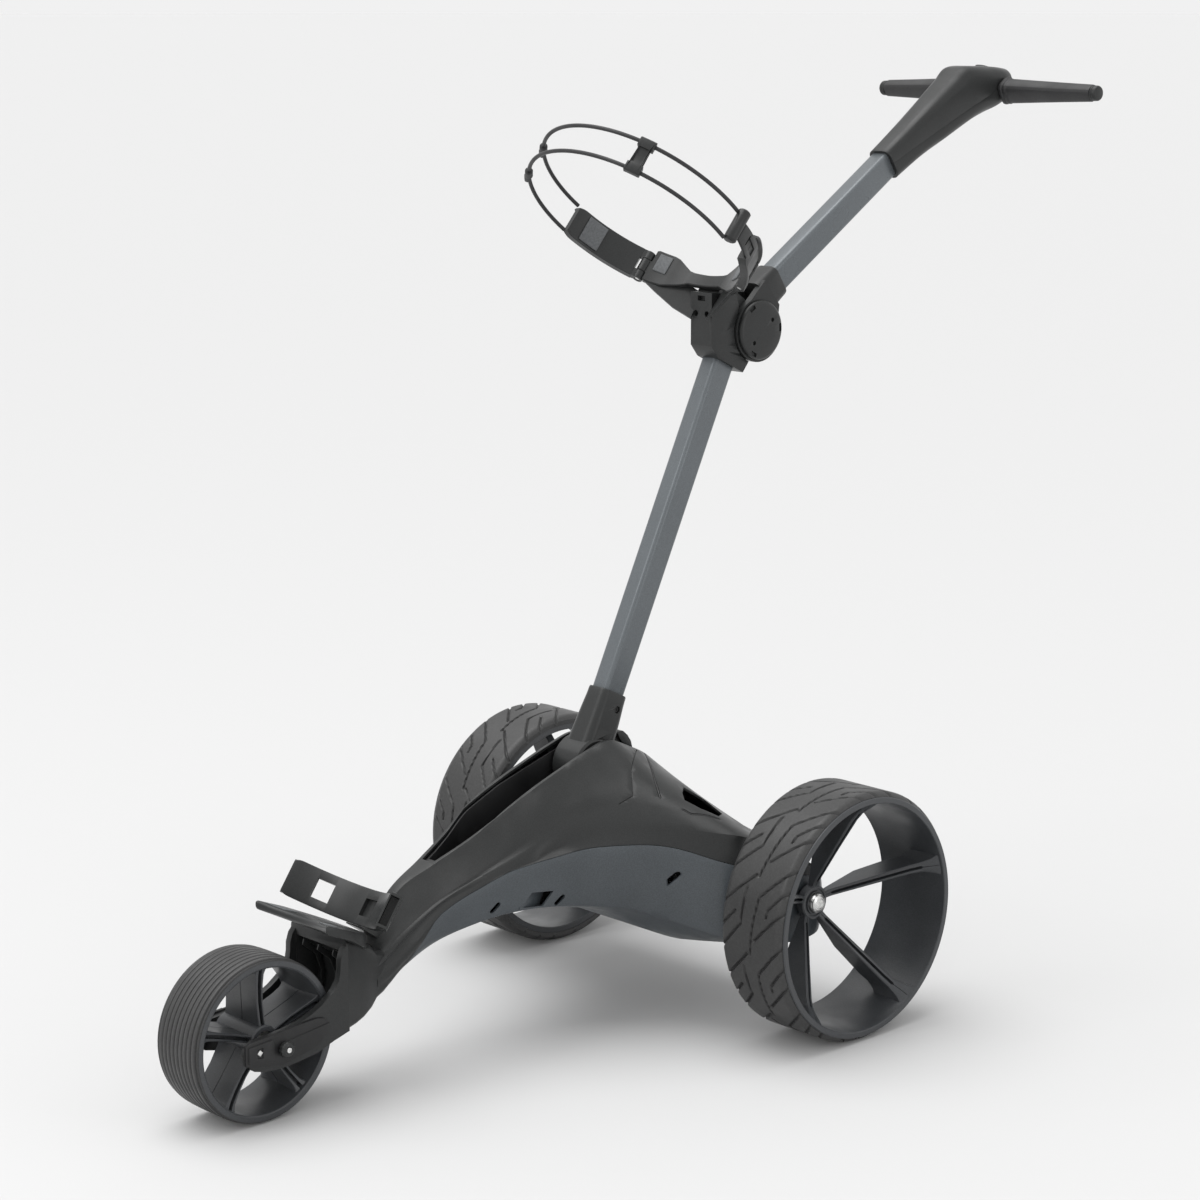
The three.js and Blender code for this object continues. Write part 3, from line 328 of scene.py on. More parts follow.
def settle(made):
    """Applies an object's modifiers to its mesh."""
    graph = bpy.context.evaluated_depsgraph_get()
    mesh = bpy.data.meshes.new_from_object(made.evaluated_get(graph))
    made.modifiers.clear()
    made.data = mesh


def combine(made, lumps, operation):
    """Cuts lumps from an object, or joins them to it, as solids."""
    for index, lump in enumerate(lumps):
        tool = solid_object(f"tool_{index}", lump)
        change = made.modifiers.new("combine", "BOOLEAN")
        change.operation = operation
        change.solver = "EXACT"
        change.object = tool
        settle(made)
        bpy.data.objects.remove(tool)


def crease(mesh, degrees):
    work = bmesh.new()
    work.from_mesh(mesh)
    for face in work.faces:
        face.smooth = True
    for edge in work.edges:
        edge.smooth = len(edge.link_faces) == 2 and edge.calc_face_angle(0) < math.radians(degrees)
    work.to_mesh(mesh)
    work.free()


def piece(name, lump, place, finish, body, nodes=(), bevel=0.0, angle=32, cuts=(), adds=(), segments=2):
    """A visible piece: its shape, where it goes, its finish, the body it rides on and what it stands for."""
    made = solid_object(name, lump)
    combine(made, adds, "UNION")
    combine(made, cuts, "DIFFERENCE")
    if bevel:
        edge = made.modifiers.new("edge", "BEVEL")
        edge.width = bevel
        edge.segments = segments
        edge.limit_method = "ANGLE"
        edge.angle_limit = math.radians(angle)
        edge.use_clamp_overlap = True
        settle(made)
    made.data.transform(place)
    crease(made.data, angle)
    made.data.materials.clear()
    made.data.materials.append(LOOKS[finish])
    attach(made, body)
    if nodes:
        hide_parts(*nodes)
    return made


# ---------------------------------------------------------------- rear wheels

TREAD_PITCHES = 10
# Grooves of one pitch of tread: across from the inner edge (0) to the outer (1), round in pitches.
TREAD = [
    [(1.02, -0.45), (0.59, 0.0), (0.5, 0.75)], [(0.36, -0.08), (0.35, 0.37), (-0.02, 0.79)],
    [(1.02, -0.17), (0.76, 0.13), (0.75, 0.23)], [(1.02, 0.10), (0.585, 0.54)],
    [(0.45, -0.26), (-0.02, 0.2)], [(0.24, 0.23), (-0.02, 0.51)]]


def groove_distance(across, round_, pitch, width):
    """Distance in mm from points on the tread to the nearest groove line."""
    best = np.full(across.shape, 1e9)
    for line in TREAD:
        for (u0, v0), (u1, v1) in zip(line, line[1:]):
            for shift in (-1, 0, 1):
                ax, ay = u0 * width, (v0 + shift) * pitch
                dx, dy = (u1 - u0) * width, (v1 - v0) * pitch
                px, py = across * width - ax, round_ * pitch - ay
                t = np.clip((px * dx + py * dy) / (dx * dx + dy * dy), 0, 1)
                best = np.minimum(best, np.hypot(px - t * dx, py - t * dy))
    return best


def rear_tyre():
    width = REAR_WIDTH - 2.5
    inner = TRACK_HALF - REAR_WIDTH
    steps = 84  # round the tyre, in one pitch
    columns = 78
    across = np.linspace(0, 1, columns + 1)
    edge = np.minimum(across, 1 - across) * width
    crown = REAR_RADIUS - 5.5 * np.clip(1 - edge / 9, 0, 1) ** 2.2
    pitch = 2 * math.pi * REAR_RADIUS / TREAD_PITCHES
    turn = np.arange(steps) / steps
    grid_u, grid_v = np.meshgrid(across, turn)
    gap = groove_distance(grid_u, grid_v, pitch, width)
    depth = 2.6 * np.clip((1.75 - gap) / 0.9, 0, 1)
    radius = crown[None, :] - depth
    seat = 134.0
    rings = []
    for n in range(steps * TREAD_PITCHES):
        angle = 2 * math.pi * n / (steps * TREAD_PITCHES)
        row = radius[n % steps]
        profile = [(inner + u * width, r) for u, r in zip(across, row)]
        profile += [(inner + width - 0.6, seat), (inner + 0.6, seat)]
        rings.append([(x, -r * math.sin(angle), r * math.cos(angle)) for x, r in profile])
    return skin(rings, close=True, caps=False)


def spoke(stations, groove, chamfer=1.2):
    """A blade out along +Z from the hub; stations are [radius, inner x, outer x, thickness, groove half]."""
    rings = []
    for r, low, high, thick, half in stations:
        t = thick / 2
        ring = [(low + chamfer, -t), (high - chamfer, -t), (high, -t + chamfer), (high, -half),
                (high - groove, -half), (high - groove, half), (high, half), (high, t - chamfer),
                (high - chamfer, t), (low + chamfer, t), (low, t - chamfer), (low, chamfer - t)]
        rings.append([(x, y, r) for x, y in ring])
    return skin(rings)


def rear_rim():
    outer, seat = TRACK_HALF, 133.7
    inner = TRACK_HALF - REAR_WIDTH + 1
    barrel = lathe([
        (inner, seat), (inner, seat - 6.2), (inner + 0.8, seat - 7), (outer - 60, seat - 4.4),
        (outer - 4, seat - 2.2), (outer - 1.0, seat - 1.8), (outer, seat - 0.9), (outer, 138.1),
        (outer - 0.8, 138.9), (outer - 2.2, 138.9), (outer - 2.2, seat)], 160)
    hub = lathe([
        (HUB_FACE - 10, 6.3), (HUB_FACE - 10, 20), (HUB_FACE - 1.4, 20), (HUB_FACE, 18.6), (HUB_FACE, 16.4),
        (HUB_FACE - 1.4, 15.8), (HUB_FACE - 1.4, 14), (HUB_FACE + 0.8, 13.4), (HUB_FACE + 0.8, 12),
        (HUB_FACE, 11.3), (213, 11.3), (213, 6.3)], 72)
    blade = spoke([
        (16, 209, 216.5, 8.6, 0.3), (25, 209.4, 220, 8.8, 0.3), (27, 209.5, 221, 8.8, 1.8),
        (70, 215.5, 248, 10, 1.8), (108, 236, 272.5, 11.5, 1.8), (117, 245, 280, 12.5, 1.8),
        (119, 246.5, 282, 13.4, 0.3), (126, 252, 291, 19, 0.3), (132.6, 256, 297.5, 29, 0.3)], 7)
    blades = [turned(blade, 72 * i - 2) for i in range(5)]
    return joined(barrel, hub, *blades)


def release_button():
    face = HUB_FACE + 7.7
    return lathe([
        (216, 0), (216, 11), (HUB_FACE + 4.5, 11), (HUB_FACE + 6.2, 10.2), (face - 0.5, 8.4), (face, 7.4),
        (face, 6.4), (face - 0.8, 5.8), (face - 0.8, 0)], 64)


def rear_wheels():
    tyre, rim, button = rear_tyre(), rear_rim(), release_button()
    for hand in ("left", "right"):
        flip = mirrored if hand == "right" else (lambda lump: lump)
        wheel = f"{hand}_wheel"
        piece(f"{hand}_tyre_tread", flip(tyre), WHEELS, "tyre", wheel, [f"{hand}_tyre"], angle=40)
        piece(f"{hand}_spoked_rim", flip(rim), WHEELS, "rim", wheel, [f"{hand}_rim"], angle=30)
        piece(f"{hand}_hub_button", flip(button), WHEELS, "steel", f"{hand}_button", [f"{hand}_release_button"])


rear_wheels()

# ---------------------------------------------------------------- front wheel


def front_wheel():
    half = FRONT_WIDTH / 2
    ribs = 9
    pitch = (FRONT_WIDTH - 9) / ribs
    profile = [(-half, 82.6), (-half, FRONT_RADIUS - 3.6), (-half + 1.2, FRONT_RADIUS - 1.8)]
    for i in range(ribs):
        left = -half + 4.5 + i * pitch
        fall = 1.5 * (abs(left + pitch / 2) / half) ** 3
        top = FRONT_RADIUS - fall
        profile += [(left + 0.15, top - 1.9), (left + 0.65, top - 0.5), (left + 1.2, top), (left + pitch - 1.2, top),
                    (left + pitch - 0.65, top - 0.5), (left + pitch - 0.15, top - 1.9)]
    profile += [(half - 1.2, FRONT_RADIUS - 1.8), (half, FRONT_RADIUS - 3.6), (half, 82.6)]
    piece("front_ribbed_tyre", lathe(profile, 144), FRONT_WHEEL, "tyre", "front_wheel", ["front_tyre"], angle=50)

    seat = 82.2
    side = [(half - 0.3, seat), (half - 0.3, 86.2), (half + 0.1, 86.6), (half + 0.1, 81.2), (half - 1.2, 79.6)]
    barrel = [(-x, r) for x, r in side] + [(-8, 77.4), (8, 77.4)] + [(x, r) for x, r in reversed(side)]
    hub = [(-33, 11.3), (-33, 15.5), (-31.5, 17), (31.5, 17), (33, 15.5), (33, 11.3)]
    blade = []
    for face in (1, -1):
        half_blade = spoke([
            (14, 0, 31, 8, 2.2), (24, 0, 29.5, 8, 2.2), (42, 0, 27.5, 8.5, 2.2), (60, 0, 28, 9.5, 2.2),
            (72, 0, 29.5, 11, 2.2), (77, 0, 31, 14, 2.2), (81, 0, 32.5, 20, 2.2)], 8, 0.8)
        blade.append(half_blade if face > 0 else mirrored(half_blade))
    blades = [turned(joined(*blade), 72 * i + 1) for i in range(5)]
    piece("front_spoked_rim", joined(lathe(barrel, 144), lathe(hub, 64), *blades), FRONT_WHEEL, "rim",
          "front_wheel", ["front_rim"], angle=30)


front_wheel()
# ---------------------------------------------------------------- chassis shells

# Lines along one side of the chassis, rows of [y, |x|, z]; the other side mirrors them.
RIM_LINE = [
    (-492, 13, 143), (-470, 10, 171), (-445, 7, 204), (-400, 13, 226), (-353, 22, 248), (-313, 29, 271),
    (-270, 31, 290), (-235, 31, 303), (-185, 31, 320), (-150, 31, 328), (-120, 31, 317), (-88, 31, 300),
    (-40, 31, 258), (0, 31, 222), (30, 31, 195), (66, 31, 160)]
CREASE_LINE = [
    (-492, 25, 140), (-470, 22, 152), (-445, 20, 166), (-400, 24, 190), (-353, 29, 208), (-313, 37, 227),
    (-270, 50, 252), (-232, 60, 268), (-197, 74, 274), (-168, 92, 272), (-150, 112, 268), (-134, 130, 264),
    (-110, 150, 258), (-88, 162, 249), (-62, 165, 236), (-40, 165, 222), (0, 165, 202), (30, 162, 181), (66, 132, 154)]
GROOVE_LINE = [
    (-492, 27, 131), (-470, 24.5, 141), (-445, 23, 156), (-400, 26.5, 184), (-353, 35.5, 201),
    (-318, 45.5, 210), (-290, 57, 219.5), (-265, 61, 226), (-232, 74, 236.7), (-197, 92.5, 244.6),
    (-168, 111, 247), (-153, 128, 247.4), (-134, 153, 244), (-118, 173, 241), (-100, 189, 238), (-80, 197, 231),
    (-40, 197, 211), (0, 197, 193), (30, 195, 173), (66, 160, 151)]
SEAM_LINE = [
    (-492, 29, 122), (-470, 27, 128), (-445, 26, 141), (-400, 29, 174), (-353, 38, 195), (-313, 50, 210),
    (-268, 69, 221), (-228, 84, 225), (-192, 105, 226.6), (-165, 122, 225.4), (-145, 143, 221.4),
    (-128, 163, 219), (-112, 181, 217), (-95, 194, 216), (-75, 200, 213), (-40, 200, 201), (0, 200, 186), (30, 198, 166), (66, 162, 146)]
HEM_LINE = [
    (-492, 26, 98), (-470, 21, 107), (-445, 16, 120), (-400, 17, 139), (-353, 27, 151), (-313, 39, 158),
    (-270, 59, 161), (-225, 73, 155.7), (-192, 92, 150.6), (-165, 109, 143.4), (-145, 136, 134.4),
    (-120, 178, 122.4), (-88, 198, 112), (-40, 198, 100), (0, 198, 96), (30, 196, 101), (66, 160, 116)]
KEEL_LINE = [
    (-492, 10, 96), (-470, 9, 104), (-445, 8, 118), (-400, 8, 136), (-353, 12, 147), (-313, 18, 152),
    (-270, 28, 154), (-235, 40, 150), (-185, 60, 138), (-140, 80, 112), (-88, 90, 90), (-40, 90, 82),
    (0, 90, 82), (30, 90, 88), (66, 90, 108)]
# The colour seam, seen from the side: [y, z].
SEAM_PROFILE = [
    (-446, 121), (-429, 139), (-409, 167), (-387, 181), (-353, 195), (-313, 210), (-268, 220.5), (-228, 226),
    (-192, 227), (-165, 225.4), (-145, 221.4), (-118, 209.5), (-88, 199), (-40, 184), (30, 166), (90, 150)]
WALL = 3
BAY_PLAN = [
    (-27, -112), (-27, -320), (-19, -350), (-9, -396), (9, -396), (19, -350), (27, -320), (27, -112)]


def between(a, b, count, bulge=0.0):
    """Points from a towards b, b left out, bowed to the right of the way from a to b."""
    (ax, az), (bx, bz) = a, b
    length = math.hypot(bx - ax, bz - az) or 1
    spots = []
    for i in range(count):
        t = i / count
        lift = bulge * 4 * t * (1 - t) / length
        spots.append((ax + (bx - ax) * t + (bz - az) * lift, az + (bz - az) * t - (bx - ax) * lift))
    return spots


def mixed(a, b, t):
    return a[0] + (b[0] - a[0]) * t, a[1] + (b[1] - a[1]) * t


def half_section(y):
    """One side of the chassis at y, from the keel up to the rim, as [|x|, z]."""
    keel, hem, seam, groove, ridge, rim = (tuple(curve_through(line, y)) for line in (
        KEEL_LINE, HEM_LINE, SEAM_LINE, GROOVE_LINE, CREASE_LINE, RIM_LINE))
    facet = mixed(hem, seam, 0.42)
    facet = (facet[0] + 0.04 * math.dist(hem, seam), facet[1])
    start, end = mixed(groove, ridge, 0.8), mixed(ridge, rim, 0.14)
    spots = between(keel, hem, 4, 1.0) + between(hem, facet, 4, 0.8) + between(facet, seam, 4, 1.0)
    swell = 0.5 + 2.4 * min(1, max(0, (-185 - y) / 50))
    spots += between(seam, groove, 4, -0.6) + between(groove, start, 4, swell)
    spots += [mixed(mixed(start, ridge, i / 5), mixed(ridge, end, i / 5), i / 5) for i in range(5)]
    return spots + between(end, rim, 7, -0.8) + [rim]


def chassis_ring(y, inset):
    half = half_section(y)
    outline = half + [(-x, z) for x, z in reversed(half)]
    count = len(outline)
    ring = []
    for i, (x, z) in enumerate(outline):
        px, pz = outline[i - 2]
        nx, nz = outline[(i + 2) % count]
        length = math.hypot(nx - px, nz - pz) or 1
        ring.append((x - (nz - pz) / length * inset, y, z + (nx - px) / length * inset))
    return ring


def chassis_form(inset=0.0, front=-492.0, back=66.0, rows=96):
    return skin([chassis_ring(front + (back - front) * i / rows, inset) for i in range(rows + 1)])


def seam_side(offset, far_z):
    """Everything between the colour seam and a level above or below the chassis."""
    first, last = SEAM_PROFILE[0][0], SEAM_PROFILE[-1][0]
    line = [(y, curve_through(SEAM_PROFILE, y)[0] + offset) for y in np.linspace(first, last, 60)]
    ends = [(last, far_z), (first, far_z)] if far_z < 100 else [(last, far_z), (-500, far_z), (-500, 60), (first, 60)]
    return along(line + ends, -230, 230)


def surface_height(x, y):
    """Height of the chassis's upper surface at a point of its plan."""
    half = half_section(y)
    height = half[-1][1]
    for (ax, az), (bx, bz) in zip(half, half[1:]):
        if min(ax, bx) <= x <= max(ax, bx) and abs(bx - ax) > 1e-6:
            height = az + (bz - az) * (x - ax) / (bx - ax)
    return height


def side_width(y, z):
    """Half width of the chassis at a height, below its shoulder."""
    half = half_section(y)
    spans = [(a, b) for a, b in zip(half, half[1:14]) if min(a[1], b[1]) <= z <= max(a[1], b[1])]
    (ax, az), (bx, bz) = spans[-1]
    return ax + (bx - ax) * (z - az) / ((bz - az) or 1)


def scored(path, width=1.0, sunk=0.3):
    """A narrow round bead along points [x, y] of the upper surface, its middle just below it."""
    spots = []
    for (ax, ay), (bx, by) in zip(path, path[1:]):
        spots += [(ax + (bx - ax) * i / 6, ay + (by - ay) * i / 6) for i in range(6)]
    spots.append(path[-1])
    return swept([(x, y, surface_height(abs(x), y) - sunk) for x, y in spots], width, 8)


def slot_in_side(hand, y, z, length, width, lean):
    """A shallow round-ended slot in one side of the chassis."""
    outline = []
    for end, turn in ((1, 0), (-1, 180)):
        for i in range(7):
            angle = math.radians(turn - 90 + 30 * i)
            outline.append((end * length / 2 + width / 2 * math.cos(angle), width / 2 * math.sin(angle)))
    return shifted(turned(along(outline, *sorted((-6 * hand, 14 * hand))), lean), hand * side_width(y, z), y, z)


# Open seams across the rear of the frame shell, points [x, y] on its left side.
SEAM_CUTS = [[(34, -95), (62, -114), (90, -132.5), (109, -143)], [(132, -131), (142, -126), (152, -112), (162, -100)]]


def flipped(path, s):
    return [(s * x, y) for x, y in path]


def frame_shell():
    hollow = chassis_form(WALL, -398, 66 - WALL, 80)
    bay = along(BAY_PLAN, 165, 400, "Z")
    axle_hole = shifted(lathe([(-230, 0), (-230, 13.3), (230, 13.3), (230, 0)], 48), 0, 0, REAR_RADIUS)
    cuts = [hollow, seam_side(0.3, 60), bay, axle_hole]
    for s in (1, -1):
        vent = [(s * 100, -97), (s * 112, -111), (s * 124, -119), (s * 142, -110), (s * 157, -97), (s * 150, -84),
                (s * 116, -80)]
        cuts.append(along(vent, 200, 330, "Z"))
        cuts += [scored(flipped(path, s), 1.5) for path in SEAM_CUTS]
        cuts.append(scored([(s * 34, -108), (s * 68, -149), (s * 88, -166), (s * 84, -184)], 0.7))
    piece("frame_shell_body", chassis_form(), CHASSIS, "charcoal", "chassis", ["frame_shell"],
          cuts=cuts, bevel=0.7, angle=34)
    # Black beads sunk inside the open seam grooves: painted shade that darkens the grooves
    groove_shade = joined(*(scored(flipped(path, s), 1.1, 0.9) for path in SEAM_CUTS for s in (1, -1)))
    made = piece("seam_groove_shade", groove_shade, CHASSIS, "black", "chassis")
    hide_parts("frame_shell")
    for s in (1, -1):
        ribs = [along([(s * (110 + 10 * i), -112 + 3 * i), (s * (112 + 10 * i), -114 + 3 * i),
                       (s * (130 + 9 * i), -82), (s * (128 + 9 * i), -81)],
                      226 - i, 246 - 2 * i, "Z") for i in range(3)]
        grille = piece(f"{'left' if s > 0 else 'right'}_vent_ribs", joined(*ribs), CHASSIS, "black", "chassis")
        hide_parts("frame_shell")


def lower_shell():
    hollow = chassis_form(WALL, -400, 66 - WALL, 80)
    axle_hole = shifted(lathe([(-230, 0), (-230, 13.3), (230, 13.3), (230, 0)], 48), 0, 0, REAR_RADIUS)
    window = along([(-299, 163), (-276, 163), (-267, 181), (-291, 181)], -230, 230)
    cuts = [hollow, seam_side(-0.3, 400), axle_hole, window]
    for s in (1, -1):
        for y, z, length, lean in ((-330, 168, 9, 50), (-258, 168, 9, 52), (-150, 186, 14, 58), (-104, 170, 9, 60)):
            cuts.append(slot_in_side(s, y, z, length, 6, lean))
    piece("lower_shell_panel", chassis_form(), CHASSIS, "slate", "chassis", ["lower_shell"],
          cuts=cuts, bevel=0.6, angle=34)
    for s in (1, -1):
        box = along([(-302, 161), (-272, 161), (-262, 183), (-294, 183)], 45.5 * s, 47 * s)
        back = piece(f"{'left' if s > 0 else 'right'}_window_back", box, CHASSIS, "slate", "chassis", bevel=0.4)
        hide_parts("lower_shell")


def battery_tray():
    outer = along([(x * 0.985, y * 0.999) for x, y in BAY_PLAN], 185, 400, "Z")
    inner = along([(-24, -116), (-24, -319), (-16, -350), (-7, -388), (7, -388), (16, -350), (24, -319),
                   (24, -116)], 188, 420, "Z")
    skyline = [(-400, 222), (-376, 232), (-353, 244), (-332, 257), (-313, 267), (-270, 286), (-235, 297),
               (-185, 312), (-150, 322), (-112, 308), (-95, 308), (-95, 420), (-410, 420)]
    below = [(-420, 150), (-90, 150), (-90, 186), (-330, 186), (-420, 200)]
    hole = shifted(lathe([(-40, 0), (-40, 6.3), (40, 6.3), (40, 0)], 32), 0, -160, 297)
    piece("tray_walls", outer, CHASSIS, "black", "chassis", ["battery_tray"],
          cuts=[inner, along(skyline, -40, 40), along(below, -40, 40), hole], bevel=0.5)
    rows = []
    for i in range(25):
        t = i / 24
        y = -392 + 84 * t
        half = min(23.4, 7 + 17 * min(1, t * 1.9))
        z = 217 + 8 * math.sin(math.pi * t * 0.75) - 34 * max(0, t - 0.72) ** 1.4
        rows.append([(x * half, y, z + 1.6 * abs(x) ** 3 - drop) for drop, xs in (
            (0, (-1, -0.8, -0.4, 0, 0.4, 0.8, 1)), (3, (1, 0.8, 0.4, 0, -0.4, -0.8, -1))) for x in xs])
    ramp = piece("tray_ramp", skin(rows), CHASSIS, "charcoal", "chassis", bevel=0.6)
    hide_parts("battery_tray")


def nose():
    rings = []
    for y, half, low, high in [
            (-466, 22, 108, 148), (-480, 26, 101, 148), (-492, 29, 97.5, 152), (-505, 36, 91, 163),
            (-520, 42, 86, 171), (-534, 46, 83, 177), (-549, 48, 80, 183)]:
        ring = rounded(2 * half, high - low, 6, 0)
        rings.append([(x, y, (low + high) / 2 + z) for x, z, _ in ring])
    wheel_room = shifted(lathe([(-40, 0), (-40, 96.6), (40, 96.6), (40, 0)], 96), 0, -647.5, FRONT_RADIUS)
    recess = along([(-575, 60), (-575, 170), (-556, 172), (-540, 163), (-525, 144), (-520, 122), (-524, 98),
                    (-522, 60)], -39, 39)
    edge = [(-546, 178), (-553, 170), (-556.5, 160), (-557, 150), (-559, 139), (-566, 129), (-583, 117),
            (-597, 110), (-612, 105), (-632, 101.5), (-655, 99.5), (-672, 98.5), (-681, 92), (-683, 84),
            (-680, 73), (-672, 66), (-658, 62.5), (-640, 61), (-615, 62.5), (-590, 66), (-567, 74), (-546, 80)]
    arms = [along(edge, *sides) for sides in ((40, 48), (-48, -40))]
    made = piece("nose", skin(rings), CHASSIS, "charcoal", "chassis", adds=arms, cuts=[wheel_room, recess],
                 bevel=1.2, angle=34, segments=3)
    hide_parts("frame_shell")
    ribs = [along([(-549, 166), (-528, 150), (-521, 128), (-524, 100), (-529, 100), (-526, 126), (-534, 146),
                   (-551, 160)], x - 1, x + 1) for x in (-26, 0, 26)]
    made = piece("nose_ribs", joined(*ribs), CHASSIS, "charcoal", "chassis", bevel=0.4)
    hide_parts("frame_shell")


def ledge():
    """A thin plate with wings swept forward above the front wheel, two pads on it."""
    rings = []
    for i in range(41):
        s = -1 + i / 20
        tip, root = -571 - 15 * s * s, -503 - 47 * abs(s) ** 3
        ring = []
        for t, side in [(0, 1), (0.5, 1), (0.9, 1), (0.97, 0.8), (1.0, 0.3), (1.0, -0.4), (0.96, -0.9), (0.88, -1),
                        (0.5, -1), (0, -1)]:
            y = root + (tip - root) * t
            low = 12 * (1 - t) ** 2 * (1 - s * s) if side < 0 else 0
            ring.append((62 * s, y, 203 - (y + 586) * 0.42 + 1.5 * s * s + side * (5.6 - 0.4 * t) - low))
        rings.append(ring)
    made = piece("bag_ledge", skin(rings), CHASSIS, "charcoal", "chassis", bevel=0.9, angle=34)
    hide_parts("frame_shell")
    pads = []
    for s in (1, -1):
        rows = []
        for i in range(9):
            x = s * (30 + 24 * i / 8)
            tip = -571 - 15 * (x / 62) ** 2
            rows.append([(x, y, 203.6 - (y + 586) * 0.42 + 1.5 * (x / 62) ** 2 + z) for y, z in (
                (tip + 4, 3.2), (tip + 4, 5.2), (tip + 12, 5.4), (tip + 20, 5.5), (tip + 20, 3.2))])
        pads.append(skin(rows))
    made = piece("ledge_pads", joined(*pads), CHASSIS, "pad", "chassis", bevel=0.4)
    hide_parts("frame_shell")


def round_ring(section, start, end, steps):
    """A section of [radius, z] carried round the Z axis in degrees; it may change on the way."""
    rings = []
    for i in range(steps + 1):
        t = i / steps
        turn = math.radians(start + (end - start) * t)
        rings.append([(r * math.sin(turn), r * math.cos(turn), z) for r, z in section(t)])
    return skin(rings)


def softened(a, b, low, high, corner=1.2):
    """A rectangle of [radius, z] with its corners taken off."""
    return [(a + corner, low), (b - corner, low), (b, low + corner), (b, high - corner), (b - corner, high),
            (a + corner, high), (a, high - corner), (a, low + corner)]


def bag_rest():
    def section(t):
        near_end = min(1, abs(2 * t - 1) * 8 - 7) if abs(2 * t - 1) > 0.875 else 0
        half = 21 - 3.2 * near_end ** 3
        return [(110.5, -half), (113.5, -half), (118.6, 1 - half), (118.6, 4 - half), (117.4, 6 - half),
                (117.4, half - 6), (118.6, half - 4), (118.6, half - 1), (113.5, half), (110.5, half),
                (110, half - 1), (110, 1 - half)]

    cuts = [sector(104, 128, -33, -21, -11, 11, 10), sector(104, 115, 4, 16, -10, 10, 10)]
    end_lips = [round_ring(lambda t: softened(109, 122.5, -19.5, 19.5), 40, 49.5, 8),
                round_ring(lambda t: softened(112, 122.5, -19.5, 19.5), -49.4, -46, 4)]
    cuts.append(sector(111, 120.6, 42, 60, -16.5, 16.5, 8))
    piece("bag_rest_band_form", round_ring(section, -49.5, 49.5, 72), BAND, "charcoal", "chassis",
          ["bag_rest_band"], cuts=cuts, adds=end_lips, bevel=0.7, angle=34)
    wedge = [(-15, 118.3), (15, 118.3), (14, 132), (12, 160), (-12, 160), (-14, 132)]
    to_band = (CHASSIS.inverted() @ BAND)
    spine = moved(chassis_form(-0.3, -492, -300, 40), to_band.inverted())
    piece("bag_rest_bracket_form", along(wedge, -22, 12, "Z"), BAND, "charcoal", "chassis",
          ["bag_rest_bracket"], cuts=[spine], bevel=1.2, angle=34)


KNOB = (0, -636, 84)


def axle_brackets():
    outline = [(-686, 76), (-686, 97), (-681, 100), (-640, 103), (-592, 106), (-582, 104), (-576, 98), (-583, 84),
               (-592, 75.5), (-640, 66), (-676, 72)]
    for hand, s in (("left", 1), ("right", -1)):
        plate = along(outline, 48.3 * s, 52.6 * s)
        box = along([(-683, 78), (-683, 95.5), (-652, 98), (-650, 92), (-650, 76), (-654, 73)], 50 * s, 54.6 * s)
        window = along([(-672, 82), (-672, 92), (-665, 92.6), (-665, 81)], 53 * s, 60 * s)
        step = along([(-640, 90), (-640, 108), (-560, 112), (-560, 100)], 51.4 * s, 60 * s)
        piece(f"{hand}_bracket_plate", plate, CHASSIS, "black", "chassis", [f"{hand}_axle_bracket"],
              adds=[box], cuts=[window, step], bevel=0.7)
        bolt = shifted(lathe([(50, 0), (50, 3.9), (53.6, 3.9), (54.2, 3.3), (54.2, 0)], 4), 0, -668.5, 87)
        bolt = bolt if s > 0 else mirrored(bolt)
        made = piece(f"{hand}_bracket_bolt", bolt, CHASSIS, "steel", "chassis", bevel=0.3)
        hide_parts(f"{hand}_axle_bracket")
    knob = []
    for i in range(72):
        turn = 2 * math.pi * i / 72
        lobe = 0.55 * max(0, math.cos(12 * turn))
        knob.append([(x, (r + lobe * k) * math.sin(turn), (r + lobe * k) * math.cos(turn)) for x, r, k in (
            (54.3, 0, 0), (54.3, 8.4, 1), (58.6, 8.2, 1), (60.2, 6.9, 0.6), (61, 5.5, 0), (61, 3.6, 0),
            (60, 3.2, 0), (60, 0, 0))])
    grip = shifted(skin(knob, close=True, caps=False), *KNOB)
    piece("tracking_knob_form", grip, CHASSIS, "charcoal", "knob", ["tracking_knob"], bevel=0.3)
    insert = shifted(lathe([(59, 0), (59, 3), (61.2, 3), (61.7, 2.5), (61.7, 0)], 32), *KNOB)
    notch = shifted(turned(along([(-4, -0.5), (4, -0.5), (4, 0.5), (-4, 0.5)], 61.2, 62), 40), *KNOB)
    made = piece("tracking_insert", insert, CHASSIS, "steel", "knob", cuts=[notch], bevel=0.2)
    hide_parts("tracking_knob")


# ---------------------------------------------------------------- lower tube and its socket

TUBE_OUTLINE = (25, 33, 5)


def tube_form(start, end, extra=0.0, y=0.0):
    width, depth, radius = TUBE_OUTLINE
    return skin([rounded(width + 2 * extra, depth + 2 * extra, radius + extra, z, y, 0, 10)
                 for z in (start, end)])


def round_bar(radius, low, high, y=0.0, z=0.0, sides=48, chamfer=0.0):
    return shifted(lathe([(low, 0), (low, radius - chamfer), (low + chamfer, radius),
                          (high - chamfer, radius), (high, radius - chamfer), (high, 0)], sides), 0, y, z)


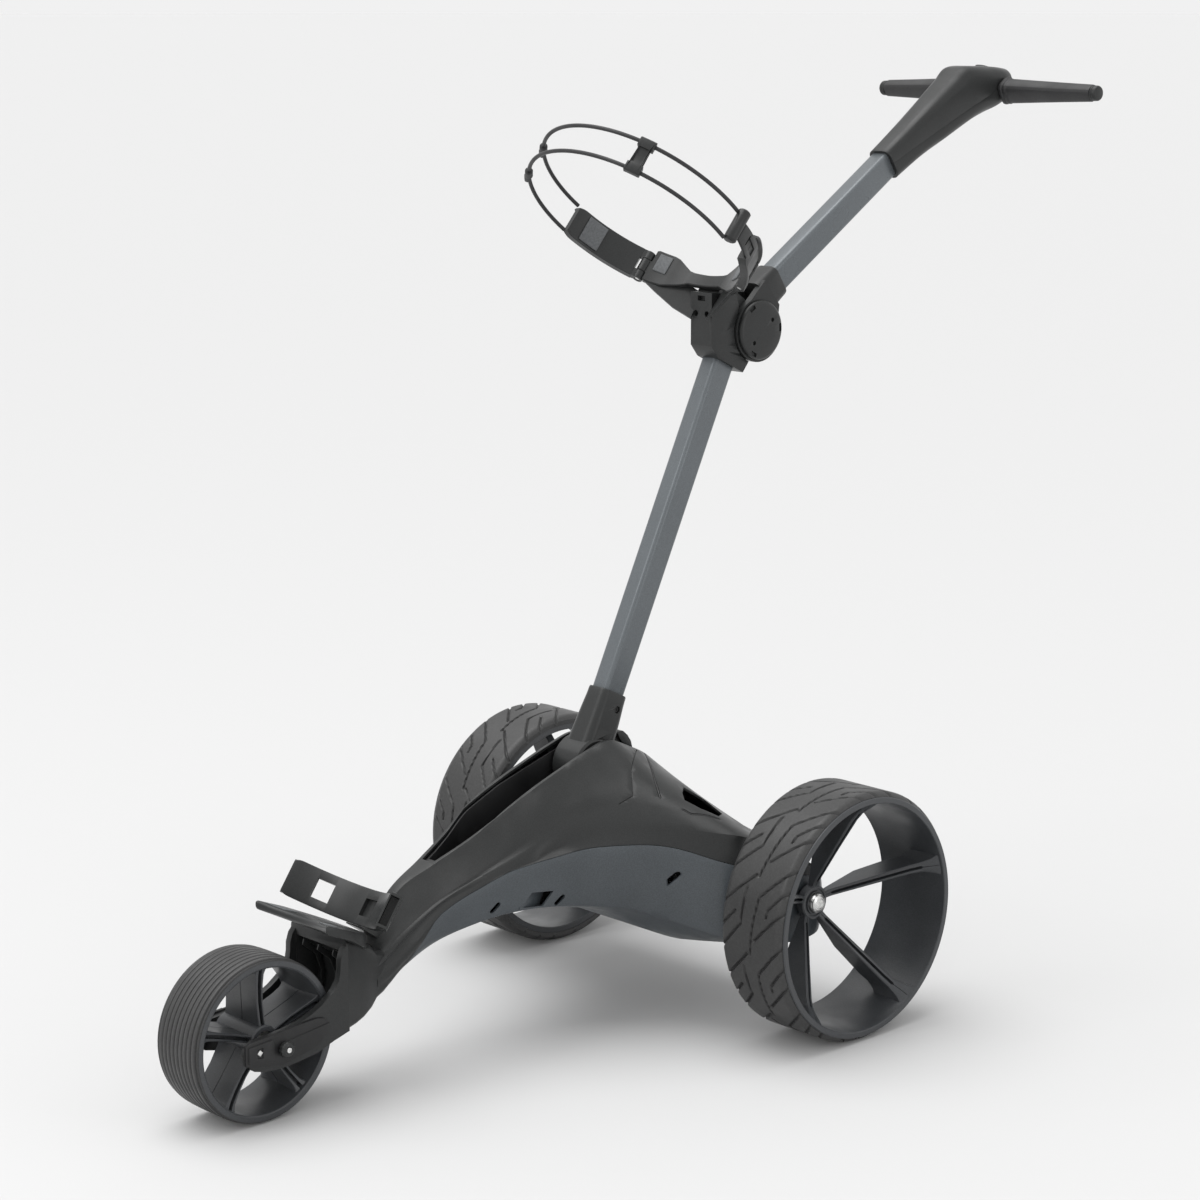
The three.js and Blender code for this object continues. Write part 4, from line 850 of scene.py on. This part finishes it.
def lower_assembly():
    piece("lower_tube_form", tube_form(46, 511), LOWER, "paint", "lower_frame", ["lower_tube"],
          cuts=[tube_form(40, 520, -2)], bevel=0.3, angle=40)
    stations = [(-16, 42, 51, 12), (20, 39.6, 48.6, 11.4), (45, 37.2, 46, 10.6), (62, 35.4, 43.8, 10),
                (78, 33.8, 41.6, 10), (86.6, 33, 41, 9.6), (88, 31.6, 39.6, 9)]
    sleeve = skin([rounded(w, d, r, z, 0, 0, 10) for z, w, d, r in stations])
    barrel = round_bar(32, -21, 21, sides=96, chamfer=2.5)
    screw = [turned(lathe([(s * 13, 0), (s * 13, 4.2), (s * 40, 4.2), (s * 40, 0)], 32), 0)
             for s in (1, -1)]
    piece("tube_socket_form", sleeve, LOWER, "charcoal", "lower_frame", ["tube_socket"], adds=[barrel],
          cuts=[tube_form(45.7, 95, 0.3), round_bar(6.3, -60, 60)] + [shifted(s, 0, 7, 70) for s in screw],
          bevel=0.6, angle=36)
    heads = [shifted(lathe([(s * 12.6, 0), (s * 12.6, 3.6), (s * 15.2, 3.6), (s * 15.8, 3), (s * 15.8, 1.6),
                            (s * 14.6, 1.5), (s * 14.6, 0)], 24), 0, 7, 70) for s in (1, -1)]
    made = piece("socket_screws", joined(*heads), LOWER, "black", "lower_frame", bevel=0.2)
    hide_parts("tube_socket")
    latch = [(-112, 325), (-108, 327.5), (-104, 327), (-97, 321), (-91.5, 313), (-89, 304), (-92, 305),
             (-99, 308.6), (-105, 314), (-110, 319.5)]
    ribs = [round_bar(0.8, -5, 5, -98 + 2.6 * i, 322 - 3.6 * i, 12) for i in range(3)]
    piece("fold_latch_form", along(latch, -7, 7), CHASSIS, "charcoal", "latch", ["fold_latch"],
          cuts=ribs, bevel=0.9, angle=30)


# ---------------------------------------------------------------- fold hinge

def in_frame(lump, source, target):
    """A lump drawn in one frame, as seen in another."""
    return moved(lump, target.inverted() @ source)


def hinge():
    outline = [(27, 828), (27, 766), (38, 752), (80, 731.5), (90, 744), (70, 780), (72, 812), (60, 842), (50, 842),
               (38, 827.5)]
    link = along([(60, 836), (60, 742), (96, 750), (96, 811)], -11.1, 11.1)
    swing = [round_bar(39, *sides, 104, 780, 96) for sides in ((11.1, 40), (-40, -11.1))]
    tongue = round_bar(31, -11.1, 11.1, 104, 780, 96)
    tube = in_frame(tube_form(474, 511.3, 0.3), LOWER, CHASSIS)
    screws = [turned(along([(r[0], r[1]) for r in arc(3.6, 0, 345, 23)], -46, -2, "Y"), 0)]
    holes = [shifted(screws[0], x, 46, 803) for x in (-9, 9)]
    notch = [along([(-6, 818), (6, 818), (6, 824), (-6, 824)], 20, 33, "Y")]
    piece("hinge_bracket_form", along(outline, -17, 17), CHASSIS, "charcoal", "lower_frame", ["hinge_bracket"],
          adds=[link], cuts=[*swing, tube, *holes, *notch], bevel=1.1, angle=30, segments=3)
    made = piece("hinge_tongue", tongue, CHASSIS, "charcoal", "lower_frame",
                 cuts=[round_bar(6.3, -60, 60, 104, 780)], bevel=0.5)
    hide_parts("hinge_bracket")
    heads = [shifted(lathe([(-4, 0), (-4, 3.1), (-1, 3.1), (-0.4, 2.5), (-0.4, 1.2), (-1.6, 1.1), (-1.6, 0)], 24),
                     0, 0, 0) for _ in (0, 1)]
    heads = [shifted(turned(head, -90, "Z"), x, 33, 803) for head, x in zip(heads, (-9, 9))]
    made = piece("bracket_screws", joined(*heads), CHASSIS, "black", "lower_frame")
    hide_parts("hinge_bracket")

    cheeks = []
    for s in (1, -1):
        web = along([(-43, 40), (-36, 0), (0, -20), (36, 0), (20, 22), (4, 37), (-4, 44)], 11.4 * s, 19.5 * s)
        cheeks += [web, round_bar(38, *sorted((11.4 * s, 19.5 * s)), 0, 0, 96)]
    rings = [(30, 38.6, 44, 10), (40, 36.4, 43, 9.6), (50, 34.4, 42, 9.2), (64.6, 33, 41, 9), (66, 31.8, 39.8, 8.4)]
    sleeve = skin([rounded(w, d, r, z, -23, 0, 10) for z, w, d, r in rings])
    piece("hinge_collar_form", sleeve, UPPER, "charcoal", "upper_frame", ["hinge_collar"], adds=cheeks,
          cuts=[round_bar(34, -11.4, 11.4, sides=96), tube_form(39.7, 90, 0.3, -23), round_bar(6.3, -60, 60)],
          bevel=0.8, angle=34)
    for hand, s in (("left", 1), ("right", -1)):
        profile = [(19.8, 0), (19.8, 34), (20.4, 35), (22.4, 35), (23.6, 34.4), (24.6, 33), (25.2, 31),
                   (25.9, 18), (26.2, 0)]
        disc = lathe([(s * x, r) for x, r in profile], 128)
        cuts = []
        for turn in (31, 151, 271):
            cut = along(arc(33, turn - 9, turn + 9, 6) + arc(28.5, turn + 9, turn - 9, 6), 22.4 * s, 30 * s)
            cuts.append(cut)
        for turn in (-1, 168):
            cuts.append(shifted(lathe([(23 * s, 0), (23 * s, 2.6), (30 * s, 2.6), (30 * s, 0)], 24),
                                0, 20 * math.sin(math.radians(turn)), 20 * math.cos(math.radians(turn))))
        piece(f"{hand}_hinge_disc_form", disc, UPPER, "charcoal", "upper_frame", [f"{hand}_hinge_disc"],
              cuts=cuts, bevel=0.4, angle=34)


# ---------------------------------------------------------------- upper tube and handle

HANDLE = [
    (300, -43, -3, 35), (350, -43.5, 0.5, 38), (400, -45, 8, 42), (450, -47, 15, 48), (472, -48, 20, 52),
    (500, -31, 28, 56), (522, -15, 30, 54), (535, -4, 28, 46)]
HANDLE_SEAM = [(280, -28.5), (486, 1.5), (560, 9)]


def handle_form(inset, start=300.0, end=535.0, rows=60):
    rings = []
    for i in range(rows + 1):
        z = start + (end - start) * i / rows
        top, bottom, width = curve_through(HANDLE, z)
        depth = bottom - top - 2 * inset
        width -= 2 * inset
        rings.append(rounded(width, depth, min(depth, width) * 0.3, z, (top + bottom) / 2, 0, 8))
    return skin(rings)


def dial_bar(radius, low, high, sides=64, chamfer=0.0):
    bar = turned(round_bar(radius, low, high, sides=sides, chamfer=chamfer), -90, "Y")
    return shifted(turned(bar, 37), 0, -12, 514)


def handle():
    piece("upper_tube_form", tube_form(40, 330, 0, -23), UPPER, "paint", "upper_frame", ["upper_tube"],
          cuts=[tube_form(39, 331, -2, -23)], bevel=0.3, angle=40)
    bar_hole = round_bar(8.3, -80, 80, 12.6, 510)
    room = tube_form(290, 332, 0.3, -23)
    hollow = handle_form(2.6, 334, 527, 50)
    line = [(y, z) for z, y in HANDLE_SEAM]
    above = [(y + 0.25, z) for y, z in line] + [(70, 560), (70, 280)]
    below = [(y - 0.25, z) for y, z in line] + [(-90, 560), (-90, 280)]
    dial_room = dial_bar(14.6, -7, 14)
    piece("handle_top", handle_form(0), UPPER, "charcoal", "upper_frame", ["handle_top_shell"],
          cuts=[hollow, room, bar_hole, along(above, -60, 60), dial_room], bevel=0.8, angle=34)
    piece("handle_bottom", handle_form(0), UPPER, "charcoal", "upper_frame", ["handle_bottom_shell"],
          cuts=[hollow, room, bar_hole, along(below, -60, 60)], bevel=0.8, angle=34)
    grip_ring = []
    for i in range(96):
        turn = 2 * math.pi * i / 96
        lobe = 0.35 * math.cos(24 * turn)
        grip_ring.append([(x, (r + lobe * k) * math.sin(turn), (r + lobe * k) * math.cos(turn)) for x, r, k in (
            (-4, 0, 0), (-4, 13.6, 1), (3, 13.6, 1), (4.4, 12.8, 0.5), (5, 11.8, 0), (6.2, 11.4, 0),
            (6.5, 10.6, 0), (5.9, 8, 0), (5.7, 0, 0))])
    dial = shifted(turned(turned(skin(grip_ring, close=True, caps=False), -90, "Y"), 37), 0, -12, 514)
    piece("speed_dial_form", dial, UPPER, "charcoal", "dial", ["speed_dial"], bevel=0.2)
    table = [(28.5, 24, 29), (29.5, 26, 31), (33, 26, 31), (34, 24.4, 29.4), (35, 24.2, 29.2), (36, 25, 30),
             (39, 24.8, 29.8), (40, 23.6, 28.4), (70, 22, 26), (120, 20, 22), (160, 18.2, 19.4), (165.4, 18, 19),
             (166, 17, 18)]
    for hand, s in (("left", 1), ("right", -1)):
        rings = []
        stations = [row[0] for row in table]
        stations = sorted(stations + [40 + 3 * i for i in range(1, 40)])
        for x in stations:
            high, deep = (np.interp(x, [r[0] for r in table], [r[k] for r in table]) for k in (1, 2))
            flat = rounded(high, deep, min(high, deep) * 0.34, 0, 0, 0, 3)
            rings.append([(s * x, y + 12.6, z + 510) for z, y, _ in flat])
        piece(f"{hand}_grip_form", skin(rings), UPPER, "rubber", "upper_frame", [f"{hand}_grip"],
              cuts=[round_bar(8.2, -164.5, 164.5, 12.6, 510)], bevel=0.5, angle=24)
        cap = lathe([(s * x, r) for x, r in (
            (166.3, 0), (166.3, 9.2), (167, 9.6), (168.6, 9.6), (169, 9.1), (169.6, 9.1), (170, 9.5),
            (173, 9.3), (174.4, 8.4), (175, 7), (175, 0))], 64)
        piece(f"{hand}_grip_cap_form", shifted(cap, 0, 12.6, 510), UPPER, "charcoal", "upper_frame",
              [f"{hand}_grip_cap"], bevel=0.2)


# ---------------------------------------------------------------- bag cradle

def polar(radius, degrees):
    return radius * math.sin(math.radians(degrees)), radius * math.cos(math.radians(degrees))


def post(radius, low, high, x, y, sides=40, chamfer=0.6):
    bar = turned(round_bar(radius, low, high, sides=sides, chamfer=chamfer), -90, "Y")
    return shifted(bar, x, y, 0)


def pin_spot(s=1):
    return polar(PIN_RADIUS, s * 37)


def yoke():
    def section(t):
        a = abs(-34 + 68 * t)
        top = np.interp(a, [0, 10, 13, 21, 24, 33, 34], [12, 12.6, 14, 24, 25.4, 25.4, 24])
        foot = np.interp(a, [0, 11, 15, 24, 30, 34], [-3.4, -3.6, -8, -16, -17, -17])
        bump = np.interp(a, [0, 9, 13, 22, 25, 34], [0, 0, 0.6, -1.4, -1.4, -1.0])
        return softened(134.4 + bump, 141.8, foot, top, 1.0)

    parts = [round_ring(section, -34, 34, 68)]
    for s in (1, -1):
        x, y = pin_spot(s)
        parts.append(post(6.5, -7, 9, x, y))
    outline = [(0, -16), (0, 8), (30, 5), (72, -3), (76, -38), (50, -34), (20, -24)]
    for s in (1, -1):
        web = along(outline, -1.4, 1.6, "Y")
        web = moved(web, Matrix.Rotation(math.radians(32), 4, "Z"))
        web = moved(web, Matrix.Rotation(math.radians(180), 4, "Y"))
        web = moved(shifted(web, 77, 112.5, 0), Matrix.Scale(-1, 4, (0, 0, 1)))
        parts.append(web if s > 0 else mirrored(web))
        link = sector(135, 141, min(s * 33, s * 36), max(s * 33, s * 36), -7, 9, 3)
        parts.append(link)
    holes = [post(3.3, -30, 30, *pin_spot(s), chamfer=0) for s in (1, -1)]
    piece("cradle_yoke_form", parts[0], CRADLE, "charcoal", "lower_frame", ["cradle_yoke"],
          adds=parts[1:], cuts=holes, bevel=0.7, angle=34)
    for hand, s in (("left", 1), ("right", -1)):
        pad = round_ring(lambda t: softened(131.6, 134.6, -1.6, 21.6, 0.8), *sorted((s * 24.4, s * 31.6)), 8)
        piece(f"{hand}_yoke_pad_form", pad, CRADLE, "pad", "lower_frame", [f"{hand}_yoke_pad"], bevel=0.5)


def cradle_arm(hand, s, reach):
    def section(t):
        a = 40.6 + (reach - 40.6) * t
        tip = max(0.0, (a - reach + 5) / 5) ** 2
        low, high = -18 + 3 * tip, 20 - 3 * tip
        return [(134.3, low + 1), (135, low), (143.6, low), (144.6, low + 1), (144.6, low + 2.6), (141.8, low + 4),
                (141.6, high - 4), (144.6, high - 2.6), (144.6, high - 1), (143.6, high), (135, high),
                (134.3, high - 1)]

    x, y = polar(PIN_RADIUS, 37)
    link_x, link_y = polar(PIN_RADIUS, 41.6)
    parts = []
    for low, high in ((9.3, 19.6), (-17.6, -7.3)):
        parts.append(post(6.5, low, high, x, y))
        parts.append(along([(link_x + 4, link_y + 3), (link_x, link_y - 5), (x - 3, y - 4), (x - 3, y + 5)],
                           low, high, "Z"))
    body = round_ring(section, 40.6, reach, 40)
    cuts = [post(3.3, -30, 30, x, y, chamfer=0), post(7.2, -7.3, 9.3, x, y, chamfer=0)]
    adds = parts
    if s < 0:
        body, cuts, adds = mirrored(body), [mirrored(c) for c in cuts], [mirrored(a) for a in adds]
    piece(f"{hand}_cradle_arm_form", body, CRADLE, "charcoal", f"{hand}_arm", [f"{hand}_cradle_arm"],
          adds=adds, cuts=cuts, bevel=0.6, angle=34)
    start, end = (57, 66) if s > 0 else (-73, -61)
    pad = round_ring(lambda t: softened(131.6, 134.5, -14.6, 16.6, 0.8), start + 0.4, end - 0.4, 10)
    piece(f"{hand}_arm_pad_form", pad, CRADLE, "pad", f"{hand}_arm", [f"{hand}_arm_pad"], bevel=0.5)


def strap_latch():
    """The round block that holds the straps' near ends, and the curved lever under it."""
    x, y = polar(138, 83)
    block = post(7.6, -16, 23, x, y, 48, 1.4)
    side = polar(137.5, 78)
    plate = along([(side[0] - 4, side[1] - 3), (side[0] + 4.5, side[1] - 6), (x + 7, y), (x - 5, y + 6)], -14, 21, "Z")
    clamp = shifted(turned(round_bar(5.2, -2, 2, sides=32, chamfer=0.6), -90, "Y"), x - 1, y - 1, -15)
    lever = round_ring(lambda t: softened(139.6 + 1.4 * t, 143 + 1.4 * t, -14 + 4 * t, 14 - 3 * t, 0.8), 60, 81, 18)
    made = piece("strap_latch_block", block, CRADLE, "charcoal", "left_arm", adds=[plate, clamp],
                 bevel=0.8, angle=34)
    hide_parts("left_cradle_arm")
    made = piece("strap_latch_lever", lever, CRADLE, "charcoal", "left_arm", bevel=0.6, angle=34,
                 cuts=[sector(141.5, 150, 64, 74, -5, 5, 8)])
    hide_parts("left_cradle_arm")


def straps():
    for node, height in (("upper_strap", 17.5), ("lower_strap", -17.5)):
        path = [(*polar(135, 86 + (278.5 - 86) * i / 120), height) for i in range(121)]
        collar = round_ring(lambda t: [(135 + 4.6 * math.cos(k * math.pi / 12), height
                                        + 4.6 * math.sin(k * math.pi / 12)) for k in range(24)], 226.5, 231.5, 8)
        hook = round_ring(lambda t: softened(133.4 + 2 * t, 140 + t, height - 3, height + 3, 1.2), 231, 237, 6)
        made = piece(f"{node}_form", swept(path, 2.3, 20), CRADLE, "rubber", "right_arm", [node],
                     adds=[collar, hook], bevel=0.3, angle=40)
        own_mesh(made)

    def section(t):
        return softened(130.7, 139.3, -22.3, 22.3, 1.6)

    waist = [sector(120, 150, 137, 139.3, -11, 11, 4), sector(120, 150, 144.7, 147, -11, 11, 4)]
    rooms = [swept([(*polar(135, 130 + i), h) for i in range(25)], 2.6, 20) for h in (17.5, -17.5)]
    hollow = sector(137, 150, 139.6, 144.4, -10, 10, 6)
    made = piece("bridge_clip_form", round_ring(section, 138, 146, 12), CRADLE, "charcoal", "right_arm",
                 ["strap_bridge_clip"], cuts=[*waist, *rooms, hollow], bevel=0.6, angle=34)
    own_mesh(made)


frame_shell()
lower_shell()
battery_tray()
nose()
ledge()
bag_rest()
axle_brackets()
lower_assembly()
hinge()
handle()
yoke()
cradle_arm("left", 1, 68)
cradle_arm("right", -1, 80)
strap_latch()
straps()

# ---------------------------------------------------------------- floor, light and camera

bpy.ops.mesh.primitive_plane_add(size=1600, location=(0, 0, 0))
floor = bpy.context.object
floor.name = "floor"
paper = bpy.data.materials.new("floor_paper")
paper.use_nodes = True
paper.node_tree.nodes["Principled BSDF"].inputs["Base Color"].default_value = (0.55, 0.55, 0.55, 1)
paper.node_tree.nodes["Principled BSDF"].inputs["Roughness"].default_value = 0.9
paper.node_tree.nodes["Principled BSDF"].inputs["Emission Color"].default_value = (1, 1, 1, 1)
paper.node_tree.nodes["Principled BSDF"].inputs["Emission Strength"].default_value = 0.02
floor.data.materials.append(paper)


def soft_light(name, place, aim, size, power):
    data = bpy.data.lights.new(name, "AREA")
    data.shape = "RECTANGLE"
    data.size, data.size_y = size
    data.energy = power
    lamp = bpy.data.objects.new(name, data)
    bpy.context.scene.collection.objects.link(lamp)
    lamp.location = place
    lamp.rotation_euler = (Vector(aim) - Vector(place)).to_track_quat("-Z", "Y").to_euler()


soft_light("key", (-0.6, -3.2, 2.6), (0, -0.1, 0.5), (1.8, 2.2), 27)
soft_light("side", (3.2, 0.6, 1.1), (0, 0, 0.4), (0.8, 2.2), 9)

sun_data = bpy.data.lights.new("skylight", "SUN")
sun_data.energy = 2.0
sun_data.angle = math.radians(55)
sun = bpy.data.objects.new("skylight", sun_data)
bpy.context.scene.collection.objects.link(sun)
sun.rotation_euler = Vector((0.22, 0.1, -1)).to_track_quat("-Z", "Y").to_euler()

world = bpy.data.worlds.new("studio")
bpy.context.scene.world = world
world.use_nodes = True
world.node_tree.nodes["Background"].inputs["Color"].default_value = (1, 1, 1, 1)
world.node_tree.nodes["Background"].inputs["Strength"].default_value = 0.88
bpy.context.scene.view_settings.view_transform = "Standard"

camera_data = bpy.data.cameras.new("camera")
camera_data.lens = 87.2
camera_data.sensor_width = 36
camera = bpy.data.objects.new("camera", camera_data)
bpy.context.scene.collection.objects.link(camera)
camera.location = (2.3851, -2.2854, 1.1493)
aim = Vector((0.28327, -0.31472, 0.56438))
camera.rotation_euler = (aim - camera.location).to_track_quat("-Z", "Y").to_euler()
bpy.context.scene.camera = camera
